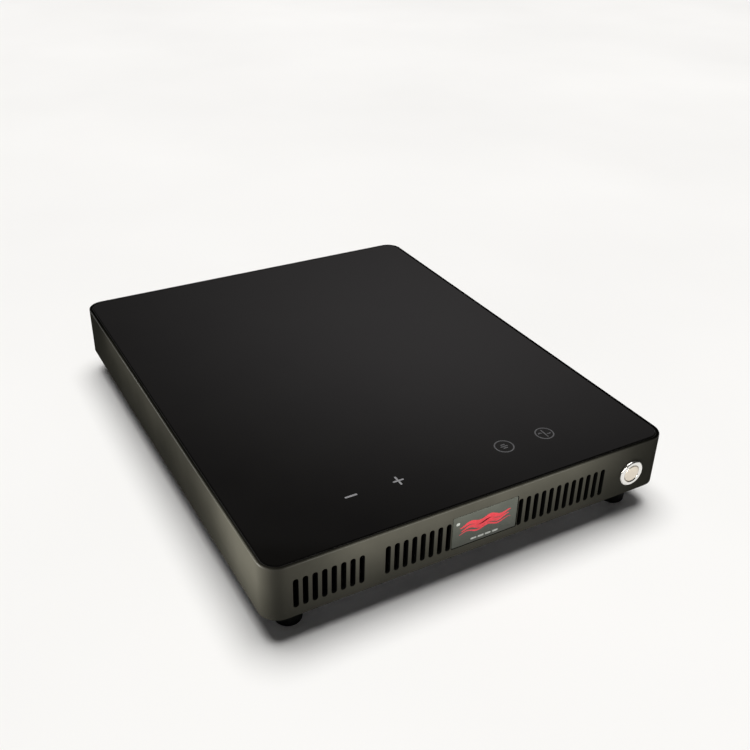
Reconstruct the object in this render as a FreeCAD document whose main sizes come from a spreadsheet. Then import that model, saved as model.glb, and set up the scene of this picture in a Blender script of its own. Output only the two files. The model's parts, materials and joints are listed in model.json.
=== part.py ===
import FreeCAD, Part
import math
import os
import re

import Sketcher
from FreeCAD import Placement, Rotation, Vector

# Portable single-zone induction cooktop. Millimetres, +Z up, +Y towards the rear, and the origin on the
# table under the middle of the unit. The front face, with its vents and its push button, looks along -Y.

SIZES = {
    # casing
    "body_width": 305,
    "body_depth": 381,
    "body_height": 40,
    "body_corner": 13,
    "rim_round": 0.9,
    "wall": 2.2,
    "ledge_width": 6,
    "ledge_thickness": 2,
    "boss_inset": 8,
    "boss_radius": 5,
    # glass and its seat
    "glass_inset": 2.7,
    "glass_thickness": 4,
    "glass_proud": 0.3,
    "glass_bevel": 0.6,
    "gasket_lip": 0.4,
    "gasket_thickness": 1,
    "gasket_width": 5,
    # vents
    "vent_width": 3.3,
    "vent_height": 21.4,
    "vent_pitch": 6.25,
    "vent_middle": 17.8,
    "left_vents_start": -133.5,
    "middle_vents_start": -71.8,
    "right_vents_start": 27.6,
    "few_vents": 8,
    "many_vents": 12,
    "rear_vents": 16,
    # badge
    "badge_width": 50,
    "badge_height": 24.4,
    "badge_middle": 19.3,
    "badge_depth": 0.9,
    "badge_corner": 1,
    "badge_gap": 0.3,
    # bottom
    "foot_height": 20,
    "foot_radius": 8.9,
    "foot_flange": 10.4,
    "foot_flange_height": 2.2,
    "foot_across": 130,
    "foot_along": 170,
    "foot_well": 3.9,
    "foot_well_depth": 13,
    "base_thickness": 1.2,
    "base_gap": 0.3,
    "intake_slots": 12,
    "intake_slot_width": 5,
    "intake_slot_length": 15,
    "intake_radius": 28,
    "intake_hub": 6,
    # screws
    "screw_shank": 1.75,
    "screw_head": 3.4,
    "screw_head_height": 2.2,
    "screw_play": 0.15,
    "small_shank": 1.4,
    "small_head": 2.7,
    "small_head_height": 1.8,
    "small_length": 6,
    "foot_screw_grip": 4,
    "base_screw_grip": 9,
    # push button
    "button_across": 122.1,
    "button_middle": 17.8,
    "bezel_radius": 9.8,
    "bezel_proud": 2.5,
    "bezel_seal": 0.5,
    "bezel_seal_inset": 0.6,
    "barrel_radius": 8,
    "barrel_length": 18,
    "barrel_back": 2.5,
    "cap_radius": 6.1,
    "cap_play": 0.15,
    "cap_sunk": 0.2,
    "cap_length": 5.2,
    "cap_skirt": 6.8,
    "cap_skirt_length": 2,
    "chamber_radius": 7,
    "stem_radius": 1.6,
    "stem_length": 12.3,
    "button_spring_radius": 4.3,
    "button_spring_wire": 0.45,
    "button_spring_turns": 6,
    "nut_flats": 21,
    "nut_thickness": 4,
    "switch_radius": 7.6,
    "switch_length": 12,
    "blade_width": 4.8,
    "blade_thickness": 0.8,
    "blade_length": 8,
    "blade_spread": 4,
    # cord inlet
    "inlet_across": 110,
    "inlet_middle": 16,
    "inlet_bore": 4.6,
    "inlet_barrel": 6.4,
    "inlet_flange": 9,
    "inlet_lip": 8,
    "inlet_proud": 2.5,
    "inlet_tail": 3,
    # coil
    "coil_along": 45,
    "tray_bottom": 48,
    "tray_thickness": 2.5,
    "tray_radius": 92,
    "tray_hole": 12,
    "ear_radius": 7,
    "ear_circle": 102,
    "ears": 3,
    "wire_radius": 1.5,
    "coil_inner": 26,
    "coil_pitch": 3.6,
    "coil_half_turns": 34,
    "lead_hole": 5,
    "lead_hole_across": -4,
    "mica_thickness": 0.5,
    "mica_hole": 17,
    "ferrites": 6,
    "ferrite_inner": 32,
    "ferrite_length": 52,
    "ferrite_width": 12,
    "ferrite_thickness": 3.5,
    "tray_window_out": 60,
    "tray_window_length": 40,
    "tray_window_width": 14,
    "tray_window_corner": 3,
    "post_radius": 4,
    "post_hole_depth": 12,
    "post_screw_reach": 10,
    # temperature sensor
    "holder_radius": 11.8,
    "holder_flange": 16,
    "holder_flange_height": 1.5,
    "holder_tower": 9,
    "holder_top": 53.6,
    "sensor_radius": 3,
    # boards
    "board_lift": 6,
    "board_thickness": 1.6,
    "board_corner": 2,
    "standoff_radius": 3,
    "power_across": -40,
    "power_along": -68,
    "power_length": 200,
    "power_width": 100,
    "filter_across": 107.5,
    "filter_length": 65,
    "board_hole_inset": 5,
    "touch_length": 190,
    "touch_width": 36,
    "touch_along": -150,
    "carrier_length": 200,
    "carrier_width": 46,
    "carrier_thickness": 3,
    "carrier_leg": 3.5,
    "carrier_leg_across": 93,
    "carrier_leg_along": 17,
    "touch_bottom": 48.6,
    "outer_key": 76,
    "inner_key": 41.7,
    "key_spring_radius": 4,
    "key_spring_wire": 0.4,
    "key_spring_turns": 4,
    # parts on the boards
    "cutout_length": 6,
    "cutout_width": 12,
    "cutout_height": 9,
    "film_length": 32,
    "film_height": 20,
    "film_across": 40,
    "film_rib": 2,
    "film_notch": 0.8,
    "resonant_width": 14,
    "resonant_along": -100,
    "smoothing_width": 16,
    "smoothing_along": -74,
    "choke_across": -115,
    "choke_along": -96,
    "choke_ring": 11,
    "choke_winding": 5,
    "common_choke_ring": 14,
    "common_choke_along": -38,
    "current_ring_along": -68,
    "ring_base": 1,
    "supply_along": -42,
    "supply_length": 22,
    "supply_width": 18,
    "supply_height": 16,
    "supply_core": 11,
    "bobbin_length": 18,
    "bobbin_width": 12,
    "fuse_across": -70,
    "fuse_along": -50,
    "fuse_length": 20,
    "fuse_radius": 2.6,
    "fuse_cap": 5,
    "fuse_cap_wall": 0.4,
    "fuse_clip": 4,
    "fuse_lift": 4,
    "terminal_length": 12,
    "terminal_width": 10,
    "terminal_height": 9,
    "terminal_along": -43,
    "coil_terminal_across": 40,
    "inner_terminal_across": -20,
    "supply_terminal_across": 50,
    "filter_terminal_across": 83,
    "supply_terminal_along": -56,
    "header_width": 5,
    "header_along": -24,
    "fan_header_across": 40,
    "plug_along": -114.5,
    "ribbon_across": -80,
    "ribbon_width": 10,
    "ribbon_thickness": 0.9,
    "can_radius": 5,
    "can_height": 12,
    "can_groove": 0.5,
    "can_along": -54,
    "left_can_across": -46,
    "right_can_across": -33,
    "stud_radius": 2,
    "stud_height": 12,
    "stud_nut_lift": 2,
    "earth_across": 95,
    "earth_along": 165,
    # heat sink and what it cools
    "sink_across": -40,
    "sink_along": -88,
    "sink_length": 90,
    "sink_width": 44,
    "sink_base": 4,
    "sink_lift": 5,
    "sink_leg": 4,
    "fin_height": 14,
    "fin_thickness": 1.5,
    "fins": 12,
    "transistor_length": 16,
    "transistor_width": 21,
    "transistor_across": -62,
    "rectifier_length": 30,
    "rectifier_width": 20,
    "rectifier_across": -22,
    "package_gap": 0.4,
    "pin_size": 1,
    "pin_length": 1.4,
    "pin_lift": 0.9,
    "pin_spread": 5,
    # leads
    "thin_wire": 0.7,
    "supply_wire": 1.05,
    "plug_lift": 3,
    "outer_lead_bend": 5,
    "inner_lead_bend": 3.5,
    "sensor_lead_bend": 3,
    "sensor_lead_drop": 4,
    "sensor_slope": 6,
    "fan_lead_bend": 8,
    "fan_lead_lift": 5,
    "fan_strand": 1.5,
    "fan_slope_rear": 30,
    "fan_slope_front": 10,
    "supply_lead_bend": 5,
    "supply_lead_end": 5,
    "supply_lead_arch": 4,
    "supply_strand": 2.5,
    "switch_lead_bend": 5,
    "switch_lead_end": 14,
    "plug_lead_end": 10,
    "ribbon_bend": 3,
    "ribbon_end": 6,
    # fans
    "fan_across": 75,
    "fan_along": 95,
    "fan_size": 80,
    "fan_depth": 15,
    "fan_corner": 4,
    "fan_bore": 38.5,
    "fan_hole_spread": 35.75,
    "motor_plate": 15,
    "motor_plate_thickness": 2.5,
    "strut_width": 3.5,
    "bush_radius": 3.6,
    "bush_top": 9,
    "hub_radius": 18,
    "hub_wall": 1.6,
    "hub_bottom": 3.6,
    "hub_top": 12.5,
    "hub_roof": 1.5,
    "shaft_radius": 1.5,
    "shaft_play": 0.05,
    "shaft_bottom": 1,
    "blades": 7,
    "blade_tip": 37,
    "blade_low": 3.8,
    "blade_high": 13.2,
    "blade_sweep": 9,
    "blade_sheet": 1.4,
}

doc = FreeCAD.newDocument("InductionCooktop")
sheet = doc.addObject("Spreadsheet::Sheet", "sizes")
for row, (alias, number) in enumerate(SIZES.items(), 1):
    sheet.set("A%d" % row, alias)
    sheet.set("B%d" % row, str(number))
    sheet.setAlias("B%d" % row, alias)
doc.recompute()

WORD = re.compile(r"[a-z_]+")
BOTH = (-1, 1)
TOP = "foot_height + body_height"
GLASS_BOTTOM = "foot_height + body_height + glass_proud - glass_thickness"
LEDGE_TOP = "foot_height + body_height + glass_proud - glass_thickness - gasket_thickness"
BASE_TOP = "foot_height + base_thickness"
BOARD_BOTTOM = "foot_height + base_thickness + board_lift"
BOARD_TOP = "foot_height + base_thickness + board_lift + board_thickness"
TRAY_TOP = "tray_bottom + tray_thickness"
parts = []


def size(alias):
    """The number in the sheet's cell of this name."""
    return float(sheet.get(alias))


def formula(text):
    """An expression on the sheet, from one written with bare aliases."""
    return WORD.sub(lambda word: "sizes." + word.group() if word.group() in SIZES else word.group(), str(text))


def bind(thing, **formulas):
    """Bind properties of an object to the sheet."""
    for name, text in formulas.items():
        thing.setExpression(name, formula(text))
    return thing


def put(thing, across=0, along=0, up=0):
    """Bind the place of an object to the sheet."""
    for axis, text in zip("xyz", (across, along, up)):
        thing.setExpression("Placement.Base." + axis, formula(text))
    return thing


def keep(thing, label):
    """Take an object as a sub-part of this name."""
    thing.Label = label
    parts.append(thing)
    return thing


# ---------------------------------------------------------------- bodies, sketches and features


def new_body(label, across=0, along=0, up=0):
    body = doc.addObject("PartDesign::Body", label)
    put(body, across, along, up)
    return keep(body, label)


def origin_feature(body, role):
    return next(feature for feature in body.Origin.OriginFeatures if feature.Role == role)


def upright_axis(body):
    return origin_feature(body, "Z_Axis"), [""]


def new_sketch(body, across=0, along=0, up=0, plane="XY_Plane"):
    """A sketch on an origin plane, its own origin moved within the plane and off it."""
    sketch = body.newObject("Sketcher::SketchObject", "outline")
    sketch.AttachmentSupport = [(origin_feature(body, plane), "")]
    sketch.MapMode = "FlatFace"
    for axis, text in zip("xyz", (across, along, up)):
        sketch.setExpression("AttachmentOffset.Base." + axis, formula(text))
    return sketch


def dimension(sketch, name, text, *constraint):
    index = sketch.addConstraint(Sketcher.Constraint(*constraint))
    sketch.renameConstraint(index, name)
    sketch.setExpression("Constraints." + name, formula(text))


def draw_circle(sketch, name, radius):
    circle = sketch.addGeometry(Part.Circle(Vector(), Vector(0, 0, 1), 1))
    sketch.addConstraint(Sketcher.Constraint("Coincident", circle, 3, -1, 1))
    dimension(sketch, name, radius, "Radius", circle, 1)


def draw_rectangle(sketch, width, height):
    """A sharp rectangle about the sketch's origin."""
    corners = [Vector(-2, -1), Vector(2, -1), Vector(2, 1), Vector(-2, 1)]
    for index in range(4):
        sketch.addGeometry(Part.LineSegment(corners[index], corners[(index + 1) % 4]))
    for index in range(4):
        sketch.addConstraint(Sketcher.Constraint("Coincident", index, 2, (index + 1) % 4, 1))
        sketch.addConstraint(Sketcher.Constraint("Vertical" if index % 2 else "Horizontal", index))
    sketch.addConstraint(Sketcher.Constraint("Symmetric", 0, 1, 1, 2, -1, 1))
    dimension(sketch, "width", width, "DistanceX", 0, 1, 0, 2, 4)
    dimension(sketch, "height", height, "DistanceY", 1, 1, 1, 2, 2)


def draw_rounded(sketch, width, height, radius):
    """A rectangle with rounded corners about the sketch's origin."""
    ends = [(-8, -8, 8, -8), (10, -6, 10, 6), (8, 8, -8, 8), (-10, 6, -10, -6)]
    for left, low, right, high in ends:
        sketch.addGeometry(Part.LineSegment(Vector(left, low), Vector(right, high)))
    for index, (middle_x, middle_y) in enumerate([(8, -6), (8, 6), (-8, 6), (-8, -6)]):
        round_corner = Part.Circle(Vector(middle_x, middle_y), Vector(0, 0, 1), 2)
        start = math.radians(90 * index - 90)
        sketch.addGeometry(Part.ArcOfCircle(round_corner, start, start + math.pi / 2))
    for index in range(4):
        sketch.addConstraint(Sketcher.Constraint("Tangent", index, 2, 4 + index, 1))
        sketch.addConstraint(Sketcher.Constraint("Tangent", 4 + index, 2, (index + 1) % 4, 1))
        sketch.addConstraint(Sketcher.Constraint("Vertical" if index % 2 else "Horizontal", index))
    for index in (5, 6, 7):
        sketch.addConstraint(Sketcher.Constraint("Equal", 4, index))
    sketch.addConstraint(Sketcher.Constraint("Symmetric", 4, 3, 6, 3, -1, 1))
    dimension(sketch, "radius", radius, "Radius", 4, 2)
    dimension(sketch, "width", width, "DistanceX", 3, 1, 1, 1, 20)
    dimension(sketch, "height", height, "DistanceY", 0, 1, 2, 1, 16)


def draw_slot(sketch, width, height):
    """An upright slot with round ends about the sketch's origin."""
    sketch.addGeometry(Part.LineSegment(Vector(1, -4), Vector(1, 4)))
    sketch.addGeometry(Part.LineSegment(Vector(-1, 4), Vector(-1, -4)))
    sketch.addGeometry(Part.ArcOfCircle(Part.Circle(Vector(0, 4), Vector(0, 0, 1), 1), 0, math.pi))
    sketch.addGeometry(Part.ArcOfCircle(Part.Circle(Vector(0, -4), Vector(0, 0, 1), 1), math.pi, 2 * math.pi))
    for one, end, other, start in ((0, 2, 2, 1), (2, 2, 1, 1), (1, 2, 3, 1), (3, 2, 0, 1)):
        sketch.addConstraint(Sketcher.Constraint("Tangent", one, end, other, start))
    sketch.addConstraint(Sketcher.Constraint("Vertical", 0))
    sketch.addConstraint(Sketcher.Constraint("Equal", 2, 3))
    sketch.addConstraint(Sketcher.Constraint("Symmetric", 2, 3, 3, 3, -1, 1))
    dimension(sketch, "radius", "(%s) / 2" % width, "Radius", 2, 1)
    dimension(sketch, "straight", "(%s) - (%s)" % (height, width), "DistanceY", 3, 3, 2, 3, 8)


def draw_blade(sketch, sweep, rise, sheet_width):
    """A slanted strip about the sketch's origin, the section of a flat blade."""
    corners = [Vector(-5, -4), Vector(-3, -4), Vector(5, 4), Vector(3, 4)]
    for index in range(4):
        sketch.addGeometry(Part.LineSegment(corners[index], corners[(index + 1) % 4]))
    for index in range(4):
        sketch.addConstraint(Sketcher.Constraint("Coincident", index, 2, (index + 1) % 4, 1))
    sketch.addConstraint(Sketcher.Constraint("Horizontal", 0))
    sketch.addConstraint(Sketcher.Constraint("Horizontal", 2))
    sketch.addConstraint(Sketcher.Constraint("Symmetric", 0, 1, 2, 1, -1, 1))
    dimension(sketch, "foot", sheet_width, "DistanceX", 0, 1, 0, 2, 2)
    dimension(sketch, "head", sheet_width, "DistanceX", 2, 2, 2, 1, 2)
    dimension(sketch, "rise", rise, "DistanceY", 1, 1, 1, 2, 8)
    dimension(sketch, "sweep", sweep, "DistanceX", 1, 1, 1, 2, 8)


def add_pad(body, sketch, length):
    pad = body.newObject("PartDesign::Pad", "pad")
    pad.Profile = sketch
    bind(pad, Length=length)
    doc.recompute()
    return pad


def cut_pocket(body, sketch, depth, along_normal=False):
    """Cut a sketch into the body, against the sketch's normal unless told otherwise."""
    before = body.Shape.Volume
    pocket = body.newObject("PartDesign::Pocket", "pocket")
    pocket.Profile = sketch
    pocket.Reversed = along_normal
    bind(pocket, Length=depth)
    doc.recompute()
    if body.Shape.Volume >= before:
        raise RuntimeError("%s: a pocket cut nothing" % body.Label)
    return pocket


def repeat_in_line(body, feature, role, pitch, count):
    pattern = body.newObject("PartDesign::LinearPattern", "row")
    pattern.Originals = [feature]
    pattern.Direction = (origin_feature(body, role), [""])
    pattern.Occurrences = 2
    bind(pattern, Length="(%s) * ((%s) - 1)" % (pitch, count), Occurrences=count)
    body.Tip = pattern
    doc.recompute()
    return pattern


def repeat_round(body, feature, axis, count):
    """Repeat a feature round an axis, given as a feature and the name of its axis."""
    pattern = body.newObject("PartDesign::PolarPattern", "ring")
    pattern.Originals = [feature]
    pattern.Axis = axis
    pattern.Angle = 360
    bind(pattern, Occurrences=count)
    body.Tip = pattern
    doc.recompute()
    return pattern


def edges_at(feature, height):
    """Names of the edges of a feature that lie flat at this height of the body."""
    names = []
    for index, edge in enumerate(feature.Shape.Edges, 1):
        if abs(edge.BoundBox.ZMin - height) < 1e-6 and abs(edge.BoundBox.ZMax - height) < 1e-6:
            names.append("Edge%d" % index)
    return names


def dress_edges(body, kind, feature, height, **formulas):
    """A PartDesign Fillet or Chamfer on every flat edge at one height."""
    dressing = body.newObject("PartDesign::" + kind, "edge")
    dressing.Base = (feature, edges_at(feature, height))
    bind(dressing, **formulas)
    doc.recompute()
    return dressing


def turned_body(label, sections, across=0, along=0, up=0):
    """A body of stacked discs and rings about its own Z axis: (bottom, top, outer radius, bore radius)."""
    body = new_body(label, across, along, up)
    for bottom, top, outer, bore in sections:
        sketch = new_sketch(body, up=bottom)
        draw_circle(sketch, "outer", outer)
        if bore:
            draw_circle(sketch, "bore", bore)
        add_pad(body, sketch, "(%s) - (%s)" % (top, bottom))
    return body


def face_rearward(thing):
    """Turn an object so that its own Z axis points to the rear."""
    thing.Placement = Placement(thing.Placement.Base, Rotation(Vector(1, 0, 0), -90))
    return thing


# ---------------------------------------------------------------- primitives, booleans and free shapes


def block(length, width, height, across=0, along=0, up=0):
    """A box centred across and along, standing at the given height."""
    box = doc.addObject("Part::Box", "block")
    bind(box, Length=length, Width=width, Height=height)
    return put(box, "(%s) - (%s) / 2" % (across, length), "(%s) - (%s) / 2" % (along, width), up)


def rod(radius, height, across=0, along=0, up=0):
    cylinder = doc.addObject("Part::Cylinder", "rod")
    bind(cylinder, Radius=radius, Height=height)
    return put(cylinder, across, along, up)


def fused(things):
    fuse = doc.addObject("Part::MultiFuse", "fusion")
    fuse.Shapes = things
    return fuse


def less(base, tool):
    cut = doc.addObject("Part::Cut", "cut")
    cut.Base = base
    cut.Tool = tool
    return cut


def group(things):
    """Separate solids kept together as one sub-part."""
    compound = doc.addObject("Part::Compound", "group")
    compound.Links = things
    return compound


def free_shape(label, shape, across=0.0, along=0.0, up=0.0):
    feature = doc.addObject("Part::Feature", label)
    feature.Shape = shape
    feature.Placement = Placement(Vector(across, along, up), Rotation())
    return keep(feature, label)


def bent_path(points, bend):
    """Straight runs between the points, with an arc of one radius in each corner."""
    edges = []
    last = points[0]
    for before, corner, after in zip(points, points[1:], points[2:]):
        back = (before - corner).normalize()
        ahead = (after - corner).normalize()
        half = back.getAngle(ahead) / 2
        start = corner + back * (bend / math.tan(half))
        end = corner + ahead * (bend / math.tan(half))
        inward = (back + ahead).normalize()
        middle = corner + inward * (bend / math.sin(half) - bend)
        edges.append(Part.LineSegment(last, start).toShape())
        edges.append(Part.Arc(start, middle, end).toShape())
        last = end
    edges.append(Part.LineSegment(last, points[-1]).toShape())
    return Part.Wire(edges)


def tube(points, radius, bend):
    """A round lead along a bent path."""
    path = bent_path(points, bend)
    heading = points[1] - points[0]
    profile = Part.Wire(Part.makeCircle(radius, points[0], heading))
    solid = path.makePipeShell([profile], True, False)
    expected = math.pi * radius ** 2 * path.Length
    if abs(solid.Volume - expected) > 0.02 * expected:
        raise RuntimeError("a lead has the wrong volume")
    return solid


def spring(radius, wire, height, turns):
    """A helical spring along Z, wire middle to wire middle, swept along eight arcs a turn."""
    def on_helix(step):
        angle = math.pi * step / 4
        return Vector(radius * math.cos(angle), radius * math.sin(angle), height * step / (8 * turns))

    arcs = []
    for step in range(int(8 * turns)):
        arcs.append(Part.Arc(on_helix(step), on_helix(step + 0.5), on_helix(step + 1)).toShape())
    profile = Part.Wire(Part.makeCircle(wire, on_helix(0), on_helix(0.01) - on_helix(0)))
    return Part.Wire(arcs).makePipeShell([profile], True, False)


# ---------------------------------------------------------------- casing, glass and feet


def boss_place(side, end):
    """Where the casing's screw boss stands in one corner."""
    return "%d * (body_width / 2 - boss_inset)" % side, "%d * (body_depth / 2 - boss_inset)" % end


def foot_place(side, end):
    return "%d * foot_across" % side, "%d * foot_along" % end


def draw_inset(sketch, inset):
    """The casing's outline, drawn in by a distance."""
    draw_rounded(sketch, "body_width - 2 * (%s)" % inset, "body_depth - 2 * (%s)" % inset,
                 "body_corner - (%s)" % inset)


def make_housing_shell():
    """One moulding: rounded walls, a rim round the glass, a ledge under it, vents, badge seat and bosses."""
    body = new_body("housing_shell")
    outline = new_sketch(body, up="foot_height")
    draw_inset(outline, "0")
    solid = add_pad(body, outline, "body_height")
    dress_edges(body, "Fillet", solid, size("foot_height") + size("body_height"), Radius="rim_round")

    seat = new_sketch(body, up=TOP)
    draw_inset(seat, "glass_inset - gasket_lip")
    cut_pocket(body, seat, "%s - (%s)" % (TOP, LEDGE_TOP))

    mouth = new_sketch(body, up=TOP)
    draw_inset(mouth, "glass_inset - gasket_lip + ledge_width")
    cut_pocket(body, mouth, "body_height")

    hollow = new_sketch(body, up="foot_height")
    draw_inset(hollow, "wall")
    cut_pocket(body, hollow, "%s - ledge_thickness - foot_height" % LEDGE_TOP, along_normal=True)

    for side in BOTH:
        for end in BOTH:
            boss = new_sketch(body, *boss_place(side, end), BASE_TOP)
            draw_circle(boss, "outer", "boss_radius")
            draw_circle(boss, "pilot", "screw_shank")
            add_pad(body, boss, "%s - ledge_thickness - (%s)" % (LEDGE_TOP, BASE_TOP))

    middle = "foot_height + vent_middle"
    rows = [("left_vents_start", "few_vents"), ("middle_vents_start", "few_vents"),
            ("right_vents_start", "many_vents")]
    for start, count in rows:
        vent = new_sketch(body, start, middle, "body_depth / 2", "XZ_Plane")
        draw_slot(vent, "vent_width", "vent_height")
        repeat_in_line(body, cut_pocket(body, vent, "wall"), "X_Axis", "vent_pitch", count)
    vent = new_sketch(body, "-vent_pitch * (rear_vents - 1) / 2", middle, "-body_depth / 2", "XZ_Plane")
    draw_slot(vent, "vent_width", "vent_height")
    slot = cut_pocket(body, vent, "wall", along_normal=True)
    repeat_in_line(body, slot, "X_Axis", "vent_pitch", "rear_vents")

    seat = new_sketch(body, 0, "foot_height + badge_middle", "body_depth / 2", "XZ_Plane")
    draw_rounded(seat, "badge_width + 2 * badge_gap", "badge_height + 2 * badge_gap",
                 "badge_corner + badge_gap")
    cut_pocket(body, seat, "badge_depth")
    hole = new_sketch(body, "button_across", "foot_height + button_middle", "body_depth / 2", "XZ_Plane")
    draw_circle(hole, "radius", "barrel_radius + screw_play")
    cut_pocket(body, hole, "wall")
    hole = new_sketch(body, "inlet_across", "foot_height + inlet_middle", "-body_depth / 2", "XZ_Plane")
    draw_circle(hole, "radius", "inlet_barrel")
    cut_pocket(body, hole, "wall", along_normal=True)


def make_glass():
    """Glass-ceramic plate with a ground edge, and the silicone that seats it in the rim."""
    body = new_body("glass_top", up=GLASS_BOTTOM)
    outline = new_sketch(body)
    draw_inset(outline, "glass_inset")
    plate = add_pad(body, outline, "glass_thickness")
    dress_edges(body, "Chamfer", plate, size("glass_thickness"), Size="glass_bevel")

    body = new_body("glass_gasket", up=LEDGE_TOP)
    outline = new_sketch(body)
    draw_inset(outline, "glass_inset - gasket_lip")
    height = "gasket_thickness + glass_thickness - glass_bevel - glass_proud"
    add_pad(body, outline, height)
    seat = new_sketch(body, up=height)
    draw_inset(seat, "glass_inset")
    cut_pocket(body, seat, "(%s) - gasket_thickness" % height)
    mouth = new_sketch(body, up=height)
    draw_inset(mouth, "glass_inset + gasket_width")
    cut_pocket(body, mouth, height)


def make_badge_plate():
    body = new_body("badge_plate", 0, "badge_depth - body_depth / 2", "foot_height + badge_middle")
    outline = new_sketch(body, plane="XZ_Plane")
    draw_rounded(outline, "badge_width", "badge_height", "badge_corner")
    add_pad(body, outline, "badge_depth")


def make_base_plate():
    """Sheet-metal bottom inside the walls, with an air intake under each fan."""
    body = new_body("base_plate", up="foot_height")
    outline = new_sketch(body)
    draw_inset(outline, "wall + base_gap")
    add_pad(body, outline, "base_thickness")
    for side in BOTH:
        hub = new_sketch(body, "%d * fan_across" % side, "fan_along", "base_thickness")
        slot = new_sketch(body, "%d * fan_across" % side, "fan_along + intake_radius", "base_thickness")
        draw_slot(slot, "intake_slot_width", "intake_slot_length")
        draw_circle(hub, "radius", "intake_hub")
        cut_pocket(body, hub, "base_thickness")
        repeat_round(body, cut_pocket(body, slot, "base_thickness"), (hub, ["N_Axis"]), "intake_slots")
        for end in BOTH:
            fan_hole_along = "fan_along + %d * fan_hole_spread" % end
            places = [boss_place(side, end), foot_place(side, end),
                      ("%d * fan_across - fan_hole_spread" % side, fan_hole_along),
                      ("%d * fan_across + fan_hole_spread" % side, fan_hole_along)]
            for across, along in places:
                hole = new_sketch(body, across, along, "base_thickness")
                draw_circle(hole, "radius", "screw_shank + screw_play")
                cut_pocket(body, hole, "base_thickness")


def make_feet():
    """Rubber feet with a flange under the base and a well for the screw."""
    names = {(-1, -1): "foot_front_left", (1, -1): "foot_front_right",
             (-1, 1): "foot_rear_left", (1, 1): "foot_rear_right"}
    for (side, end), label in names.items():
        shoulder = "foot_height - foot_flange_height"
        sections = [(0, "foot_well_depth", "foot_radius", "foot_well"),
                    ("foot_well_depth", shoulder, "foot_radius", "screw_shank + screw_play"),
                    (shoulder, "foot_height", "foot_flange", "screw_shank + screw_play")]
        foot = turned_body(label, sections, *foot_place(side, end))
        dress_edges(foot, "Fillet", foot.Tip, 0, Radius="rim_round / 2")


def screw(head_bottom, points_up, length, across, along, small=False):
    """A pan-head screw; its head lies below the joint when the point is up, and above it otherwise."""
    shank, head, height = "screw_shank", "screw_head", "screw_head_height"
    if small:
        shank, head, height = "small_shank", "small_head", "small_head_height"
    if points_up:
        start = "(%s) + %s" % (head_bottom, height)
    else:
        start = "(%s) - (%s)" % (head_bottom, length)
    return fused([rod(head, height, across, along, head_bottom), rod(shank, length, across, along, start)])


def make_casing_screws():
    foot_screws = []
    base_screws = []
    for side in BOTH:
        for end in BOTH:
            length = "foot_height - foot_well_depth + base_thickness + foot_screw_grip"
            head_bottom = "foot_well_depth - screw_head_height"
            foot_screws.append(screw(head_bottom, True, length, *foot_place(side, end)))
            length = "base_thickness + base_screw_grip"
            head_bottom = "foot_height - screw_head_height"
            base_screws.append(screw(head_bottom, True, length, *boss_place(side, end)))
    keep(group(foot_screws), "foot_screws")
    keep(group(base_screws), "base_screws")


def make_cord_bushing():
    """Rubber inlet for the mains cord: a flange outside, a waist in the wall and a lip inside."""
    sections = [("-inlet_tail - wall", "-wall", "inlet_lip", "inlet_bore"),
                ("-wall", 0, "inlet_barrel", "inlet_bore"),
                (0, "inlet_proud", "inlet_flange", "inlet_bore")]
    up = "foot_height + inlet_middle"
    face_rearward(turned_body("cord_bushing", sections, "inlet_across", "body_depth / 2", up))


# ---------------------------------------------------------------- push button


def at_button(thing):
    """Set an object on the button's axis, its own Z running back from the front face."""
    put(thing, "button_across", "-body_depth / 2", "foot_height + button_middle")
    return face_rearward(thing)


def make_push_button():
    bore = "cap_radius + cap_play"
    sections = [("-bezel_proud", "-bezel_seal", "bezel_radius", bore),
                ("-bezel_seal", "cap_length - bezel_proud + cap_sunk", "barrel_radius", bore),
                ("cap_length - bezel_proud + cap_sunk", "barrel_length - barrel_back", "barrel_radius",
                 "chamber_radius"),
                ("barrel_length - barrel_back", "barrel_length", "barrel_radius", "stem_radius + cap_play")]
    at_button(turned_body("button_bezel", sections))

    front = "cap_sunk - bezel_proud"
    skirt = "cap_length - bezel_proud + cap_sunk + screw_play"
    sections = [(front, skirt, "cap_radius", 0),
                (skirt, "%s + cap_skirt_length" % skirt, "cap_skirt", 0),
                ("%s + cap_skirt_length" % skirt, "%s + stem_length" % skirt, "stem_radius", 0)]
    at_button(turned_body("button_cap", sections))

    wire = size("button_spring_wire")
    skirt_back = (size("cap_length") - size("bezel_proud") + size("cap_sunk") + size("screw_play")
                  + size("cap_skirt_length"))
    chamber_back = size("barrel_length") - size("barrel_back")
    coil = spring(size("button_spring_radius"), wire, chamber_back - skirt_back - 2 * wire,
                  size("button_spring_turns"))
    face_rearward(free_shape("button_spring", coil, size("button_across"),
                             skirt_back + wire - size("body_depth") / 2,
                             size("foot_height") + size("button_middle")))

    sections = [("-bezel_seal", 0, "bezel_radius - bezel_seal_inset", "barrel_radius")]
    at_button(turned_body("button_seal", sections))

    prism = doc.addObject("Part::Prism", "hexagon")
    prism.Polygon = 6
    bind(prism, Circumradius="nut_flats / 2 / cos(30 deg)", Height="nut_thickness")
    hollow = rod("barrel_radius", "nut_thickness")
    nut = less(prism, hollow)
    put(nut, "button_across", "wall - body_depth / 2", "foot_height + button_middle")
    keep(face_rearward(nut), "button_nut")

    sections = [("barrel_length", "barrel_length + switch_length", "switch_radius", 0)]
    at_button(turned_body("switch_body", sections))
    blades = []
    for side in BOTH:
        blades.append(block("blade_thickness", "blade_length", "blade_width",
                            "button_across + %d * blade_spread" % side,
                            "barrel_length + switch_length + blade_length / 2 - body_depth / 2",
                            "foot_height + button_middle - blade_width / 2"))
    keep(group(blades), "switch_terminals")


# ---------------------------------------------------------------- coil and temperature sensor


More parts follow.
